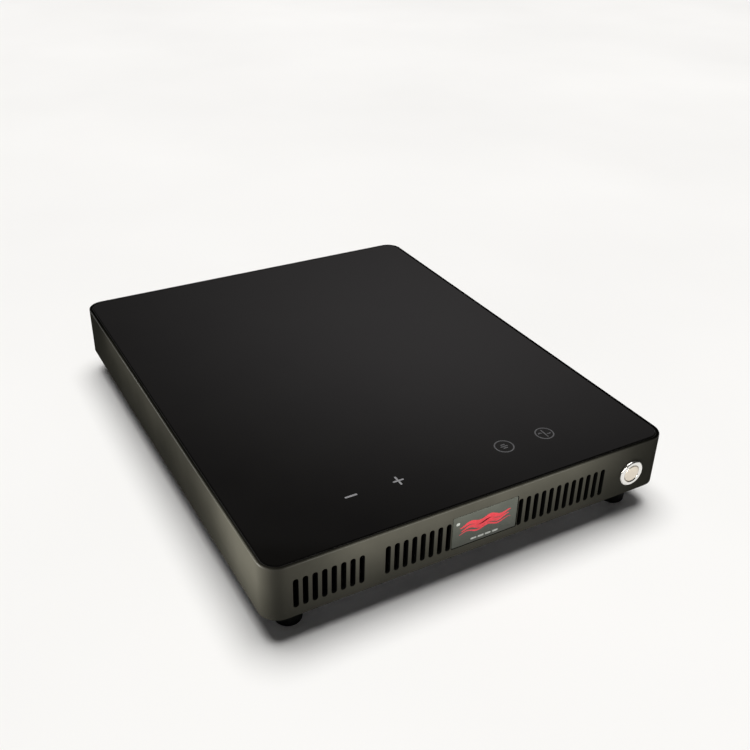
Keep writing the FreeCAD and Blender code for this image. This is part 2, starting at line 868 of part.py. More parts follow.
def make_coil_tray():
    """Moulded disc with three ears for its posts, windows for air, and a hole for the inner lead."""
    body = new_body("coil_tray", 0, "coil_along", "tray_bottom")
    disc = new_sketch(body)
    draw_circle(disc, "outer", "tray_radius")
    draw_circle(disc, "hole", "tray_hole")
    add_pad(body, disc, "tray_thickness")
    ear = new_sketch(body, 0, "ear_circle - ear_radius")
    draw_rectangle(ear, "2 * ear_radius", "2 * ear_radius")
    repeat_round(body, add_pad(body, ear, "tray_thickness"), upright_axis(body), "ears")
    hole = new_sketch(body, 0, "ear_circle", "tray_thickness")
    draw_circle(hole, "radius", "screw_shank + screw_play")
    repeat_round(body, cut_pocket(body, hole, "tray_thickness"), upright_axis(body), "ears")
    window = new_sketch(body, "tray_window_out", 0, "tray_thickness")
    draw_rounded(window, "tray_window_length", "tray_window_width", "tray_window_corner")
    repeat_round(body, cut_pocket(body, window, "tray_thickness"), upright_axis(body), "ferrites")
    hole = new_sketch(body, "lead_hole_across", "-coil_inner", "tray_thickness")
    draw_circle(hole, "radius", "lead_hole")
    cut_pocket(body, hole, "tray_thickness")


def make_induction_coil():
    """Flat winding on two centres: each half turn is an arc, and its radius grows by half a pitch."""
    half_pitch = size("coil_pitch") / 2
    level = size("tray_bottom") + size("tray_thickness") + size("wire_radius")
    arcs = []
    for index in range(int(size("coil_half_turns"))):
        radius = size("coil_inner") + index * half_pitch
        upward = index % 2
        centre = Vector(0, -half_pitch * upward)
        start = -math.pi / 2 + math.pi * upward
        circle = Part.Circle(centre, Vector(0, 0, 1), radius)
        arcs.append(Part.ArcOfCircle(circle, start, start + math.pi).toShape())
    profile = Part.Wire(Part.makeCircle(size("wire_radius"), Vector(0, -size("coil_inner")), Vector(1, 0, 0)))
    winding = Part.Wire(arcs).makePipeShell([profile], True, False)
    free_shape("induction_coil", winding, 0, size("coil_along"), level)


def make_coil_parts():
    """Ferrite bars under the tray, the mica over the winding, and the posts with their screws."""
    bars = []
    for index in range(int(size("ferrites"))):
        angle = 360 / size("ferrites") * (index + 0.5)
        bar = doc.addObject("Part::Box", "bar")
        bind(bar, Length="ferrite_length", Width="ferrite_width", Height="ferrite_thickness")
        turn = Rotation(Vector(0, 0, 1), angle)
        corner = turn.multVec(Vector(size("ferrite_inner"), -size("ferrite_width") / 2))
        corner += Vector(0, size("coil_along"), size("tray_bottom") - size("ferrite_thickness"))
        bar.Placement = Placement(corner, turn)
        bars.append(bar)
    keep(group(bars), "ferrite_bars")

    turned_body("mica_sheet", [(0, "mica_thickness", "tray_radius", "mica_hole")], 0, "coil_along",
                TRAY_TOP + " + 2 * wire_radius")

    posts = []
    screws = []
    for index in range(int(size("ears"))):
        angle = "%d deg" % (90 + 360 / size("ears") * index)
        across = "ear_circle * cos(%s)" % angle
        along = "coil_along + ear_circle * sin(%s)" % angle
        post = rod("post_radius", "tray_bottom - (%s)" % BASE_TOP, across, along, BASE_TOP)
        thread = rod("screw_shank", "post_hole_depth", across, along, "tray_bottom - post_hole_depth")
        posts.append(less(post, thread))
        screws.append(screw(TRAY_TOP, False, "tray_thickness + post_screw_reach", across, along))
    keep(group(posts), "coil_posts")
    keep(group(screws), "coil_screws")


def make_sensor():
    """Thermistor in a holder that stands in the middle of the tray and presses a pad on the glass."""
    flange_top = TRAY_TOP + " + holder_flange_height"
    bore = "sensor_radius + cap_play"
    sections = [("tray_bottom", TRAY_TOP, "holder_radius", bore),
                (TRAY_TOP, flange_top, "holder_flange", bore),
                (flange_top, "holder_top", "holder_tower", bore)]
    turned_body("sensor_holder", sections, 0, "coil_along")
    turned_body("sensor_pad", [("holder_top", GLASS_BOTTOM, "holder_tower", bore)], 0, "coil_along")
    sensor = rod("sensor_radius", "%s - (%s)" % (GLASS_BOTTOM, TRAY_TOP), 0, "coil_along", TRAY_TOP)
    keep(sensor, "temperature_sensor")


# ---------------------------------------------------------------- boards and what they carry


def board_with_holes(label, length, width, across, along, up):
    """A circuit board with a hole in each corner."""
    body = new_body(label, across, along, up)
    outline = new_sketch(body)
    draw_rounded(outline, length, width, "board_corner")
    add_pad(body, outline, "board_thickness")
    for side in BOTH:
        for end in BOTH:
            hole = new_sketch(body, "%d * ((%s) / 2 - board_hole_inset)" % (side, length),
                              "%d * ((%s) / 2 - board_hole_inset)" % (end, width), "board_thickness")
            draw_circle(hole, "radius", "small_shank + screw_play")
            cut_pocket(body, hole, "board_thickness")


def make_boards():
    """Two boards on standoffs over the base, and their screws; the touch board adds its own screws."""
    boards = [("power_board", "power_length", "power_width", "power_across"),
              ("filter_board", "filter_length", "power_width", "filter_across")]
    standoffs = []
    screws = []
    for label, length, width, across in boards:
        board_with_holes(label, length, width, across, "power_along", BOARD_BOTTOM)
        for side in BOTH:
            for end in BOTH:
                hole_across = "%s + %d * (%s / 2 - board_hole_inset)" % (across, side, length)
                hole_along = "power_along + %d * (%s / 2 - board_hole_inset)" % (end, width)
                post = rod("standoff_radius", "board_lift", hole_across, hole_along, BASE_TOP)
                thread = rod("small_shank", "board_lift", hole_across, hole_along, BASE_TOP)
                standoffs.append(less(post, thread))
                screws.append(screw(BOARD_TOP, False, "small_length", hole_across, hole_along, small=True))
    keep(group(standoffs), "board_standoffs")
    keep(group(screws + make_touch_board()), "board_screws")


def make_touch_board():
    """The board under the keys on its carrier, with a spring from each key's pad up to the glass."""
    board_with_holes("touch_board", "touch_length", "touch_width", 0, "touch_along", "touch_bottom")
    screws = []
    legs = []
    holes = []
    for side in BOTH:
        for end in BOTH:
            across = "%d * carrier_leg_across" % side
            along = "touch_along + %d * carrier_leg_along" % end
            legs.append(rod("carrier_leg", "touch_bottom - carrier_thickness - (%s)" % BASE_TOP, across, along,
                            BASE_TOP))
            hole_across = "%d * (touch_length / 2 - board_hole_inset)" % side
            hole_along = "touch_along + %d * (touch_width / 2 - board_hole_inset)" % end
            holes.append(rod("small_shank", "small_length", hole_across, hole_along,
                             "touch_bottom + board_thickness - small_length"))
            head_bottom = "touch_bottom + board_thickness"
            screws.append(screw(head_bottom, False, "small_length", hole_across, hole_along, small=True))
    plate = block("carrier_length", "carrier_width", "carrier_thickness", 0, "touch_along",
                  "touch_bottom - carrier_thickness")
    keep(less(fused([plate] + legs), fused(holes)), "touch_board_carrier")

    wire = size("key_spring_wire")
    board_top = size("touch_bottom") + size("board_thickness")
    glass_bottom = size("foot_height") + size("body_height") + size("glass_proud") - size("glass_thickness")
    keys = []
    height = glass_bottom - board_top - 2 * wire
    for across in (-size("outer_key"), -size("inner_key"), size("inner_key"), size("outer_key")):
        coil = spring(size("key_spring_radius"), wire, height, size("key_spring_turns"))
        coil.translate(Vector(across, size("touch_along"), board_top + wire))
        keys.append(coil)
    free_shape("touch_springs", Part.makeCompound(keys))
    return screws


def make_heat_sink():
    """Finned aluminium standing on two side legs."""
    body = new_body("heat_sink", "sink_across", "sink_along", BOARD_TOP + " + sink_lift")
    outline = new_sketch(body)
    draw_rectangle(outline, "sink_length", "sink_width")
    add_pad(body, outline, "sink_base")
    fin = new_sketch(body, 0, "fin_thickness / 2 - sink_width / 2", "sink_base")
    draw_rectangle(fin, "sink_length", "fin_thickness")
    pitch = "(sink_width - fin_thickness) / (fins - 1)"
    repeat_in_line(body, add_pad(body, fin, "fin_height"), "Y_Axis", pitch, "fins")
    for side in BOTH:
        leg = new_sketch(body, "%d * (sink_length - sink_leg) / 2" % side, 0, "-sink_lift")
        draw_rectangle(leg, "sink_leg", "sink_width")
        add_pad(body, leg, "sink_lift")


def package(label, length, width, across, pins):
    """A flat power package clamped under the heat sink, with its pins in the board."""
    thickness = "sink_lift - package_gap"
    case = block(length, width, thickness, across, "sink_along", BOARD_TOP + " + package_gap")
    things = [case]
    edge = "sink_along + (%s) / 2" % width
    for index in range(pins):
        place = "%s + %g * pin_spread" % (across, index - (pins - 1) / 2)
        things.append(block("pin_size", "pin_size", "pin_length", place, edge + " + pin_size / 2", BOARD_TOP))
        things.append(block("pin_size", "2 * pin_size", "pin_size", place, edge, BOARD_TOP + " + pin_lift"))
    keep(fused(things), label)


def can(across):
    """A round capacitor with a groove near its foot."""
    groove_low = "can_height / 8"
    groove_high = "can_height / 5"
    levels = [(0, groove_low, "can_radius"), (groove_low, groove_high, "can_radius - can_groove"),
              (groove_high, "can_height", "can_radius")]
    return fused([rod(radius, "%s - %s" % (high, low), across, "can_along", "%s + %s" % (BOARD_TOP, low))
                  for low, high, radius in levels])


def film_capacitor(label, length, width, height, across, along):
    """A potted box capacitor with standoff ribs along its foot."""
    case = block(length, width, height, across, along, BOARD_TOP)
    notch = block("%s - 2 * film_rib" % length, "%s + film_rib" % width, "film_notch", across, along, BOARD_TOP)
    keep(less(case, notch), label)


def wound_ring(label, ring_radius, winding_radius, across, along):
    """A ring core hidden by its winding, set into a round base."""
    winding = doc.addObject("Part::Torus", "winding")
    bind(winding, Radius1=ring_radius, Radius2=winding_radius)
    put(winding, across, along, "%s + ring_base + %s" % (BOARD_TOP, winding_radius))
    base = rod("%s + %s" % (ring_radius, winding_radius), "2 * ring_base", across, along, BOARD_TOP)
    keep(fused([winding, base]), label)


def make_power_parts():
    """Everything that stands on the two lower boards."""
    make_heat_sink()
    package("power_transistor", "transistor_length", "transistor_width", "transistor_across", 3)
    package("bridge_rectifier", "rectifier_length", "rectifier_width", "rectifier_across", 4)
    across = "sink_across + sink_length / 2 + cutout_length / 2"
    cutout = block("cutout_length", "cutout_width", "cutout_height", across, "sink_along", BOARD_TOP)
    keep(cutout, "thermal_cutout")
    films = [("resonant_capacitor", "resonant_width", "film_across", "resonant_along"),
             ("smoothing_capacitor", "smoothing_width", "film_across", "smoothing_along"),
             ("filter_capacitor", "smoothing_width", "filter_across", "resonant_along")]
    for label, width, across, along in films:
        film_capacitor(label, "film_length", width, "film_height", across, along)
    wound_ring("filter_choke", "choke_ring", "choke_winding", "choke_across", "choke_along")
    wound_ring("common_mode_choke", "common_choke_ring", "choke_winding", "filter_across", "common_choke_along")
    half = ("choke_ring / 2", "choke_winding / 2")
    wound_ring("current_transformer", *half, "choke_across", "current_ring_along")

    bobbin = block("bobbin_length", "bobbin_width", "supply_height", "choke_across", "supply_along", BOARD_TOP)
    core_bottom = BOARD_TOP + " + (supply_height - supply_core) / 2"
    core = block("supply_length", "supply_width", "supply_core", "choke_across", "supply_along", core_bottom)
    keep(fused([bobbin, core]), "supply_transformer")
    make_fuse()
    make_terminals()
    cans = [can(across) for across in ("left_can_across", "right_can_across")]
    keep(group(cans), "electrolytic_capacitors")


def make_fuse():
    """A glass fuse with end caps, held between two clips."""
    tube_start = "fuse_across - fuse_length / 2"
    fuse_level = BOARD_TOP + " + fuse_lift"
    things = [rod("fuse_radius", "fuse_length", tube_start, "fuse_along", fuse_level)]
    for start in (tube_start, "%s + fuse_length - fuse_cap" % tube_start):
        things.append(rod("fuse_radius + fuse_cap_wall", "fuse_cap", start, "fuse_along", fuse_level))
    for thing in things:
        thing.Placement = Placement(thing.Placement.Base, Rotation(Vector(0, 1, 0), 90))
    for side in BOTH:
        across = "fuse_across + %d * (fuse_length - fuse_cap) / 2" % side
        things.append(block("fuse_clip", "2 * fuse_radius", "fuse_lift", across, "fuse_along", BOARD_TOP))
    keep(fused(things), "fuse")


def make_terminals():
    """Screw terminals of the heavy leads and plug headers of the thin ones."""
    places = [("coil_terminal_across", "terminal_along", "terminal_width"),
              ("inner_terminal_across", "terminal_along", "terminal_width"),
              ("supply_terminal_across", "supply_terminal_along", "terminal_width"),
              ("filter_terminal_across", "supply_terminal_along", "terminal_width"),
              ("ribbon_across", "plug_along", "header_width"),
              ("button_across", "plug_along", "header_width"),
              ("fan_header_across", "header_along", "header_width"),
              ("-fan_header_across", "header_along", "header_width"),
              (0, "header_along", "header_width")]
    keep(group([block("terminal_length", width, "terminal_height", across, along, BOARD_TOP)
                for across, along, width in places]), "terminal_blocks")


# ---------------------------------------------------------------- leads


def board_level(lift):
    """A height over the lower boards' upper faces."""
    board_top = size("foot_height") + size("base_thickness") + size("board_lift") + size("board_thickness")
    return board_top + size(lift)


def make_coil_leads():
    """The winding's two ends, each brought down to its screw terminal."""
    wire = size("wire_radius")
    terminal_top = board_level("terminal_height")
    level = size("tray_bottom") + size("tray_thickness") + wire
    outer = size("coil_inner") + size("coil_pitch") / 2 * size("coil_half_turns")
    along = size("coil_along") - outer
    across = size("coil_terminal_across")
    points = [Vector(0, along, level), Vector(across, along, level), Vector(across, along, terminal_top)]
    outer_lead = tube(points, wire, size("outer_lead_bend"))

    along = size("coil_along") - size("coil_inner")
    down = size("lead_hole_across")
    across = size("inner_terminal_across")
    low = terminal_top - 2 * wire
    terminal_rear = size("terminal_along") + size("terminal_width") / 2
    points = [Vector(0, along, level), Vector(down, along, level), Vector(down, along, low),
              Vector(across, 0, low), Vector(across, terminal_rear, low)]
    inner_lead = tube(points, wire, size("inner_lead_bend"))
    free_shape("coil_leads", Part.makeCompound([outer_lead, inner_lead]))


def sensor_leads():
    level = board_level("plug_lift")
    middle = size("coil_along")
    tray_top = size("tray_bottom") + size("tray_thickness")
    under_tray = size("tray_bottom") - size("ferrite_thickness") - size("sensor_lead_drop")
    slope = size("sensor_slope")
    header_rear = size("header_along") + size("header_width") / 2
    leads = []
    for side in BOTH:
        across = side * size("sensor_radius") / 2
        points = [Vector(across, middle, tray_top), Vector(across, middle, under_tray),
                  Vector(across, slope, under_tray), Vector(across, -slope, level),
                  Vector(across, header_rear, level)]
        leads.append(tube(points, size("thin_wire"), size("sensor_lead_bend")))
    return leads


def fan_leads():
    level = board_level("plug_lift")
    fan_front = size("fan_along") - size("fan_size") / 2
    fan_level = size("foot_height") + size("base_thickness") + size("fan_lead_lift")
    header_rear = size("header_along") + size("header_width") / 2
    leads = []
    for side in BOTH:
        for strand in BOTH:
            across = side * size("fan_header_across") + strand * size("fan_strand")
            points = [Vector(across, fan_front, fan_level), Vector(across, size("fan_slope_rear"), fan_level),
                      Vector(across, size("fan_slope_front"), level), Vector(across, header_rear, level)]
            leads.append(tube(points, size("thin_wire"), size("fan_lead_bend")))
    return leads


def supply_leads():
    """The pair that arches from the filter board to the power board."""
    level = board_level("plug_lift")
    left = size("supply_terminal_across") + size("terminal_length") / 2
    right = size("filter_terminal_across") - size("terminal_length") / 2
    end = size("supply_lead_end")
    leads = []
    for strand in BOTH:
        along = size("supply_terminal_along") + strand * size("supply_strand")
        points = [Vector(left, along, level), Vector(left + end, along, level),
                  Vector((left + right) / 2, along, level + size("supply_lead_arch")),
                  Vector(right - end, along, level), Vector(right, along, level)]
        leads.append(tube(points, size("supply_wire"), size("supply_lead_bend")))
    return leads


def switch_leads():
    level = board_level("plug_lift")
    blade_end = size("barrel_length") + size("switch_length") + size("blade_length") - size("body_depth") / 2
    switch_level = size("foot_height") + size("button_middle")
    plug_front = size("plug_along") - size("header_width") / 2
    leads = []
    for side in BOTH:
        across = size("button_across") + side * size("blade_spread")
        points = [Vector(across, blade_end, switch_level),
                  Vector(across, blade_end + size("switch_lead_end"), switch_level),
                  Vector(across, plug_front - size("plug_lead_end"), level), Vector(across, plug_front, level)]
        leads.append(tube(points, size("thin_wire"), size("switch_lead_bend")))
    return leads


def make_ribbon_cable():
    """A flat cable from the touch board's rear edge down to its plug on the power board."""
    level = board_level("plug_lift")
    start_level = size("touch_bottom") + size("board_thickness") / 2
    board_rear = size("touch_along") + size("touch_width") / 2
    plug_front = size("plug_along") - size("header_width") / 2
    across = size("ribbon_across")
    along = plug_front - size("ribbon_end")
    points = [Vector(across, board_rear, start_level), Vector(across, along, start_level),
              Vector(across, along, level), Vector(across, plug_front, level)]
    half_width = size("ribbon_width") / 2
    half_thickness = size("ribbon_thickness") / 2
    corners = [points[0] + Vector(side * half_width, 0, rise * half_thickness)
               for side, rise in ((-1, -1), (1, -1), (1, 1), (-1, 1), (-1, -1))]
    ribbon = bent_path(points, size("ribbon_bend")).makePipeShell([Part.makePolygon(corners)], True, False)
    free_shape("ribbon_cable", ribbon)


def make_leads():
    make_coil_leads()
    leads = sensor_leads() + fan_leads() + supply_leads() + switch_leads()
    free_shape("internal_leads", Part.makeCompound(leads))
    make_ribbon_cable()


# ---------------------------------------------------------------- fans


def make_fan(side, name):
    """An axial fan lying on its intake: a square frame, and a rotor whose shaft runs in the frame's bush."""
    seat = ("%d * fan_across" % side, "fan_along", BASE_TOP)
    frame = new_body("fan_frame_" + name, *seat)
    outline = new_sketch(frame)
    draw_rounded(outline, "fan_size", "fan_size", "fan_corner")
    add_pad(frame, outline, "fan_depth")
    duct = new_sketch(frame, up="fan_depth")
    draw_circle(duct, "bore", "fan_bore")
    cut_pocket(frame, duct, "fan_depth")
    for across in BOTH:
        for along in BOTH:
            place = ("%d * fan_hole_spread" % across, "%d * fan_hole_spread" % along)
            hole = new_sketch(frame, *place, "fan_depth")
            draw_circle(hole, "radius", "screw_shank + screw_play")
            cut_pocket(frame, hole, "fan_depth")
    reach = "2 * fan_bore + 1"
    for length, width in ((reach, "strut_width"), ("strut_width", reach)):
        strut = new_sketch(frame)
        draw_rectangle(strut, length, width)
        add_pad(frame, strut, "motor_plate_thickness")
    plate = new_sketch(frame)
    draw_circle(plate, "radius", "motor_plate")
    add_pad(frame, plate, "motor_plate_thickness")
    bush = new_sketch(frame)
    draw_circle(bush, "outer", "bush_radius")
    add_pad(frame, bush, "bush_top")
    bore = new_sketch(frame, up="bush_top")
    draw_circle(bore, "radius", "shaft_radius + shaft_play")
    cut_pocket(frame, bore, "bush_top")

    sections = [("hub_bottom", "hub_top - hub_roof", "hub_radius", "hub_radius - hub_wall"),
                ("hub_top - hub_roof", "hub_top", "hub_radius", "shaft_radius")]
    rotor = turned_body("fan_rotor_" + name, sections, *seat)
    blade = new_sketch(rotor, 0, "(blade_low + blade_high) / 2", "hub_radius - hub_wall / 2", "YZ_Plane")
    draw_blade(blade, "blade_sweep", "blade_high - blade_low", "blade_sheet")
    root = add_pad(rotor, blade, "blade_tip - hub_radius + hub_wall / 2")
    repeat_round(rotor, root, upright_axis(rotor), "blades")
    shaft = rod("shaft_radius", "hub_top - shaft_bottom", *seat[:2], up="%s + shaft_bottom" % BASE_TOP)
    keep(shaft, "fan_shaft_" + name)


def make_fans():
    screws = []
    for side, name in ((-1, "left"), (1, "right")):
        make_fan(side, name)
        for across in BOTH:
            for along in BOTH:
                screws.append(screw("%s + fan_depth" % BASE_TOP, False, "fan_depth + base_thickness",
                                    "%d * fan_across + %d * fan_hole_spread" % (side, across),
                                    "fan_along + %d * fan_hole_spread" % along))
    keep(group(screws), "fan_screws")


def make_earth_stud():
    """A threaded stud on the base with a nut part way up it."""
    nut = doc.addObject("Part::Prism", "hexagon")
    nut.Polygon = 6
    bind(nut, Circumradius="2 * stud_radius", Height="stud_radius")
    put(nut, "earth_across", "earth_along", BASE_TOP + " + stud_nut_lift")
    stud = rod("stud_radius", "stud_height", "earth_across", "earth_along", BASE_TOP)
    keep(fused([stud, nut]), "earth_stud")


make_housing_shell()
make_glass()
make_badge_plate()
make_base_plate()
make_feet()
make_casing_screws()
make_cord_bushing()
make_push_button()
make_coil_tray()
make_induction_coil()
make_coil_parts()
make_sensor()
make_boards()
make_power_parts()
make_leads()
make_fans()
make_earth_stud()
doc.recompute()

for thing in doc.Objects:
    if "Invalid" in thing.State or "Error" in thing.State:
        raise RuntimeError("%s (%s) is %s" % (thing.Name, thing.Label, thing.State))
os.makedirs("parts", exist_ok=True)
for part in parts:
    if part.Shape.isNull() or not part.Shape.isValid() or not part.Shape.Solids:
        raise RuntimeError("%s has no valid solid" % part.Label)
for part in parts:
    part.Shape.exportStep("parts/%s.step" % part.Label)
print("%d sub-parts" % len(parts))
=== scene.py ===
import json
import math

import bmesh
import bpy
from mathutils import Matrix, Vector


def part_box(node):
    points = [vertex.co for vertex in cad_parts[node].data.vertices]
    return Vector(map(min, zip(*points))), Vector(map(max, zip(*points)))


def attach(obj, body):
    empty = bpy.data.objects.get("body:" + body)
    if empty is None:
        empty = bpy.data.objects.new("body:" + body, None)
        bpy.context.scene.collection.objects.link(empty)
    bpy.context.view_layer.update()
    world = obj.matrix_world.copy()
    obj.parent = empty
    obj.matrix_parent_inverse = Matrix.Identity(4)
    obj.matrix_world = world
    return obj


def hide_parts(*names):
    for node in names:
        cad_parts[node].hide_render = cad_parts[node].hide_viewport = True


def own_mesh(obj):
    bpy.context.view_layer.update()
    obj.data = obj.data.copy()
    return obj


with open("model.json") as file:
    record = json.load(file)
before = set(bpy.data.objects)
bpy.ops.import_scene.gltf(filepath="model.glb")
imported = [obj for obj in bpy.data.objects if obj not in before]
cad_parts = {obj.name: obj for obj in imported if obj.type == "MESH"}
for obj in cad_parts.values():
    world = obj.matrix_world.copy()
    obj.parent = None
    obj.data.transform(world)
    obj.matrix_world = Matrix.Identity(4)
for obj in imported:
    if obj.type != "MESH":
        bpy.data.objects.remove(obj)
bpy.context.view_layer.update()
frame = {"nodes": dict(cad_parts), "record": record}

# Everything is in metres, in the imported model's frame: +Z up, the front face towards -Y.
MM = 0.001
SHELL_LOW, SHELL_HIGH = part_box("housing_shell")
GLASS_LOW, GLASS_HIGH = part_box("glass_top")
GASKET_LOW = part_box("glass_gasket")[0]
BADGE_LOW, BADGE_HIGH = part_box("badge_plate")
BEZEL_LOW, BEZEL_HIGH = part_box("button_bezel")
CAP_LOW, CAP_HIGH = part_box("button_cap")
SPRING_LOW, SPRING_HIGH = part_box("button_spring")
INLET_LOW, INLET_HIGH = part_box("cord_bushing")
BADGE_MIDDLE = (BADGE_LOW + BADGE_HIGH) / 2
BADGE_HALF_X = (BADGE_HIGH.x - BADGE_LOW.x) / 2
BADGE_HALF_Z = (BADGE_HIGH.z - BADGE_LOW.z) / 2
BUTTON_MIDDLE = (BEZEL_LOW + BEZEL_HIGH) / 2
INLET_MIDDLE = (INLET_LOW + INLET_HIGH) / 2

HALF_WIDTH = SHELL_HIGH.x
HALF_DEPTH = SHELL_HIGH.y
FRONT = -HALF_DEPTH
REAR = HALF_DEPTH
BOTTOM = SHELL_LOW.z
TOP = SHELL_HIGH.z
CORNER = 13 * MM
WALL = 2.2 * MM
RIM = 2.3 * MM
LEDGE = 6 * MM
EDGE_ROUND = 1.1 * MM
SEAT_GAP = 0.45 * MM
GLASS_INSET = HALF_WIDTH - GLASS_HIGH.x

VENT_WIDTH = 3.3 * MM
VENT_HEIGHT = 21.4 * MM
VENT_PITCH = 6.25 * MM
VENT_MIDDLE = BOTTOM + 17.8 * MM
# Each row of vents: its face, the side it looks to, its first slot's place and its number of slots.
VENT_ROWS = [(FRONT, -1, -133.5 * MM, 8), (FRONT, -1, -71.8 * MM, 8), (FRONT, -1, 27.6 * MM, 12),
             (REAR, 1, -7.5 * VENT_PITCH, 16)]

KEY_LOW, KEY_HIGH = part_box("touch_springs")
KEY_ALONG = (KEY_LOW.y + KEY_HIGH.y) / 2
OUTER_KEY = 76 * MM
INNER_KEY = 41.7 * MM
PRINT_DEPTH = 0.05 * MM
# Each red wave: its rise, its reach and its half height in millimetres, and its phase.
WAVES = [(3.6, 19.5, 1.9, 0.0), (0.6, 18.5, 1.7, 0.35), (-2.2, 20.0, 0.8, 0.8)]

BASE_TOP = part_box("base_plate")[1].z
SCREW_HEAD = 3.4 * MM
SCREW_SHANK = 1.75 * MM
INLET_BORE = 4.6 * MM
INLET_HOLE = 6.4 * MM


# ---------------------------------------------------------------- mesh helpers


def mesh_piece(name, mesh, body, material, stands_for=()):
    """Finish a mesh as a piece of the object, smooth but for its edges over 30 degrees."""
    piece = bpy.data.objects.new(name, mesh)
    bpy.context.scene.collection.objects.link(piece)
    mesh.polygons.foreach_set("use_smooth", [True] * len(mesh.polygons))
    mesh.set_sharp_from_angle(angle=math.radians(30))
    mesh.materials.append(material)
    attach(piece, body)
    if stands_for:
        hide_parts(*stands_for)
    return piece


def cleaned(mesh, merge=1e-7, sliver=None):
    """Merge points that coincide, drop slivers below a given length, and turn faces outwards."""
    tidy = bmesh.new()
    tidy.from_mesh(mesh)
    bmesh.ops.remove_doubles(tidy, verts=tidy.verts, dist=merge)
    if sliver:
        bmesh.ops.dissolve_degenerate(tidy, edges=tidy.edges, dist=sliver)
    bmesh.ops.recalc_face_normals(tidy, faces=tidy.faces)
    tidy.to_mesh(mesh)
    tidy.free()
    return mesh


def mesh_from(name, vertices, faces, sliver=None):
    """A clean mesh of points and faces."""
    mesh = bpy.data.meshes.new(name)
    mesh.from_pydata(vertices, [], faces)
    return cleaned(mesh, sliver=sliver)


def bands(rings, count, closed=False):
    """Faces from each ring of points to the next, closed in a loop or filled in at both ends."""
    faces = []
    for ring in range(rings if closed else rings - 1):
        low = ring * count
        high = (ring + 1) % rings * count
        for index in range(count):
            after = (index + 1) % count
            faces.append((low + index, high + index, high + after, low + after))
    if not closed:
        faces.append(tuple(range(count)))
        faces.append(tuple(range((rings - 1) * count, rings * count)))
    return faces


def joined(name, meshes):
    """One mesh from several closed ones."""
    tidy = bmesh.new()
    for mesh in meshes:
        tidy.from_mesh(mesh)
    mesh = bpy.data.meshes.new(name)
    tidy.to_mesh(mesh)
    tidy.free()
    return mesh


def rounded_outline(half_x, half_y, corner, steps):
    """Points round a rectangle with rounded corners, with the outward direction at each."""
    points = []
    for turn, (side_x, side_y) in enumerate(((1, 1), (-1, 1), (-1, -1), (1, -1))):
        middle = Vector((side_x * (half_x - corner), side_y * (half_y - corner)))
        for step in range(steps + 1):
            angle = math.pi / 2 * (turn + step / steps)
            outward = Vector((math.cos(angle), math.sin(angle)))
            points.append((middle + outward * corner, outward))
    return points


def round_edge(inset, level, radius, quarter, steps=5):
    """Profile points of a quarter round, as (inset, level); quarter says which way it turns."""
    points = []
    for step in range(steps + 1):
        angle = math.pi / 2 * (quarter + step / steps)
        points.append((inset - radius * math.cos(angle), level + radius * math.sin(angle)))
    return points


def swept_ring(name, profile, half_x, half_y, corner, steps=24):
    """A closed profile of (inset, level) points carried round a rounded rectangle."""
    stations = rounded_outline(half_x, half_y, corner, steps)
    vertices = []
    for point, outward in stations:
        for inset, level in profile:
            place = point - outward * inset
            vertices.append((place.x, place.y, level))
    return mesh_from(name, vertices, bands(len(stations), len(profile), closed=True))


def slab(name, loops, half_x, half_y, corner, steps, place=None):
    """A solid plate from stacked outlines, each at an (inset, level), closed at both ends."""
    vertices = []
    for inset, level in loops:
        radius = max(corner - inset, 0.01 * MM)
        for point, _ in rounded_outline(half_x - inset, half_y - inset, radius, steps):
            vertices.append(Vector((point.x, point.y, level)))
    if place:
        vertices = [place @ vertex for vertex in vertices]
    return mesh_from(name, vertices, bands(len(loops), 4 * (steps + 1)))


def turned(name, profile, place, steps=72):
    """A (radius, height) profile turned about local Z; it closes on itself or on the axis."""
    vertices = []
    for index in range(steps):
        angle = 2 * math.pi * index / steps
        for radius, height in profile:
            point = Vector((radius * math.cos(angle), radius * math.sin(angle), height))
            vertices.append(place @ point)
    count = len(profile)
    on_axis = [max(profile[low][0], profile[(low + 1) % count][0]) < 1e-9 for low in range(count)]
    faces = [face for face in bands(steps, count, closed=True) if not on_axis[face[0] % count]]
    return mesh_from(name, vertices, faces, sliver=1e-8)


def less(mesh, cutter):
    """Mesh with the space of the cutter taken out."""
    base = bpy.data.objects.new("base", mesh)
    tool = bpy.data.objects.new("tool", cutter)
    for item in (base, tool):
        bpy.context.scene.collection.objects.link(item)
    modifier = base.modifiers.new("cut", "BOOLEAN")
    modifier.operation = "DIFFERENCE"
    modifier.solver = "EXACT"
    modifier.object = tool
    bpy.context.view_layer.update()
    scene = bpy.context.evaluated_depsgraph_get()
    result = bpy.data.meshes.new_from_object(base.evaluated_get(scene))
    for item in (base, tool):
        bpy.data.objects.remove(item)
    return result


def facing(direction, at):
    """A placement whose local Z points along +Y or -Y, with local X along the width."""
    turn = Matrix.Rotation(math.radians(-90 if direction > 0 else 90), 4, "X")
    return Matrix.Translation(at) @ turn


def slot_cutter(across, level, face, outward):
    """A slot with round ends that flares where it meets the face, running in along Y."""
    flare = 0.2 * MM
    layers = [(1.5 * MM, flare + 1.5 * MM), (0, flare), (-flare, 0), (-WALL - 1 * MM, 0)]
    steps = 8
    vertices = []
    for depth, spread in layers:
        radius = VENT_WIDTH / 2 + spread
        for end in (1, -1):
            middle = level + end * (VENT_HEIGHT - VENT_WIDTH) / 2
            for step in range(steps + 1):
                angle = math.pi * step / steps + (0 if end > 0 else math.pi)
                vertices.append((across + radius * math.cos(angle), face + outward * depth,
                                 middle + radius * math.sin(angle)))
    return mesh_from("slot", vertices, bands(len(layers), 2 * (steps + 1)))


# ---------------------------------------------------------------- materials


def new_material(name):
    """A material, its node tree and its shader."""
    material = bpy.data.materials.new(name)
    material.use_nodes = True
    shader = material.node_tree.nodes["Principled BSDF"]
    return material, material.node_tree, shader


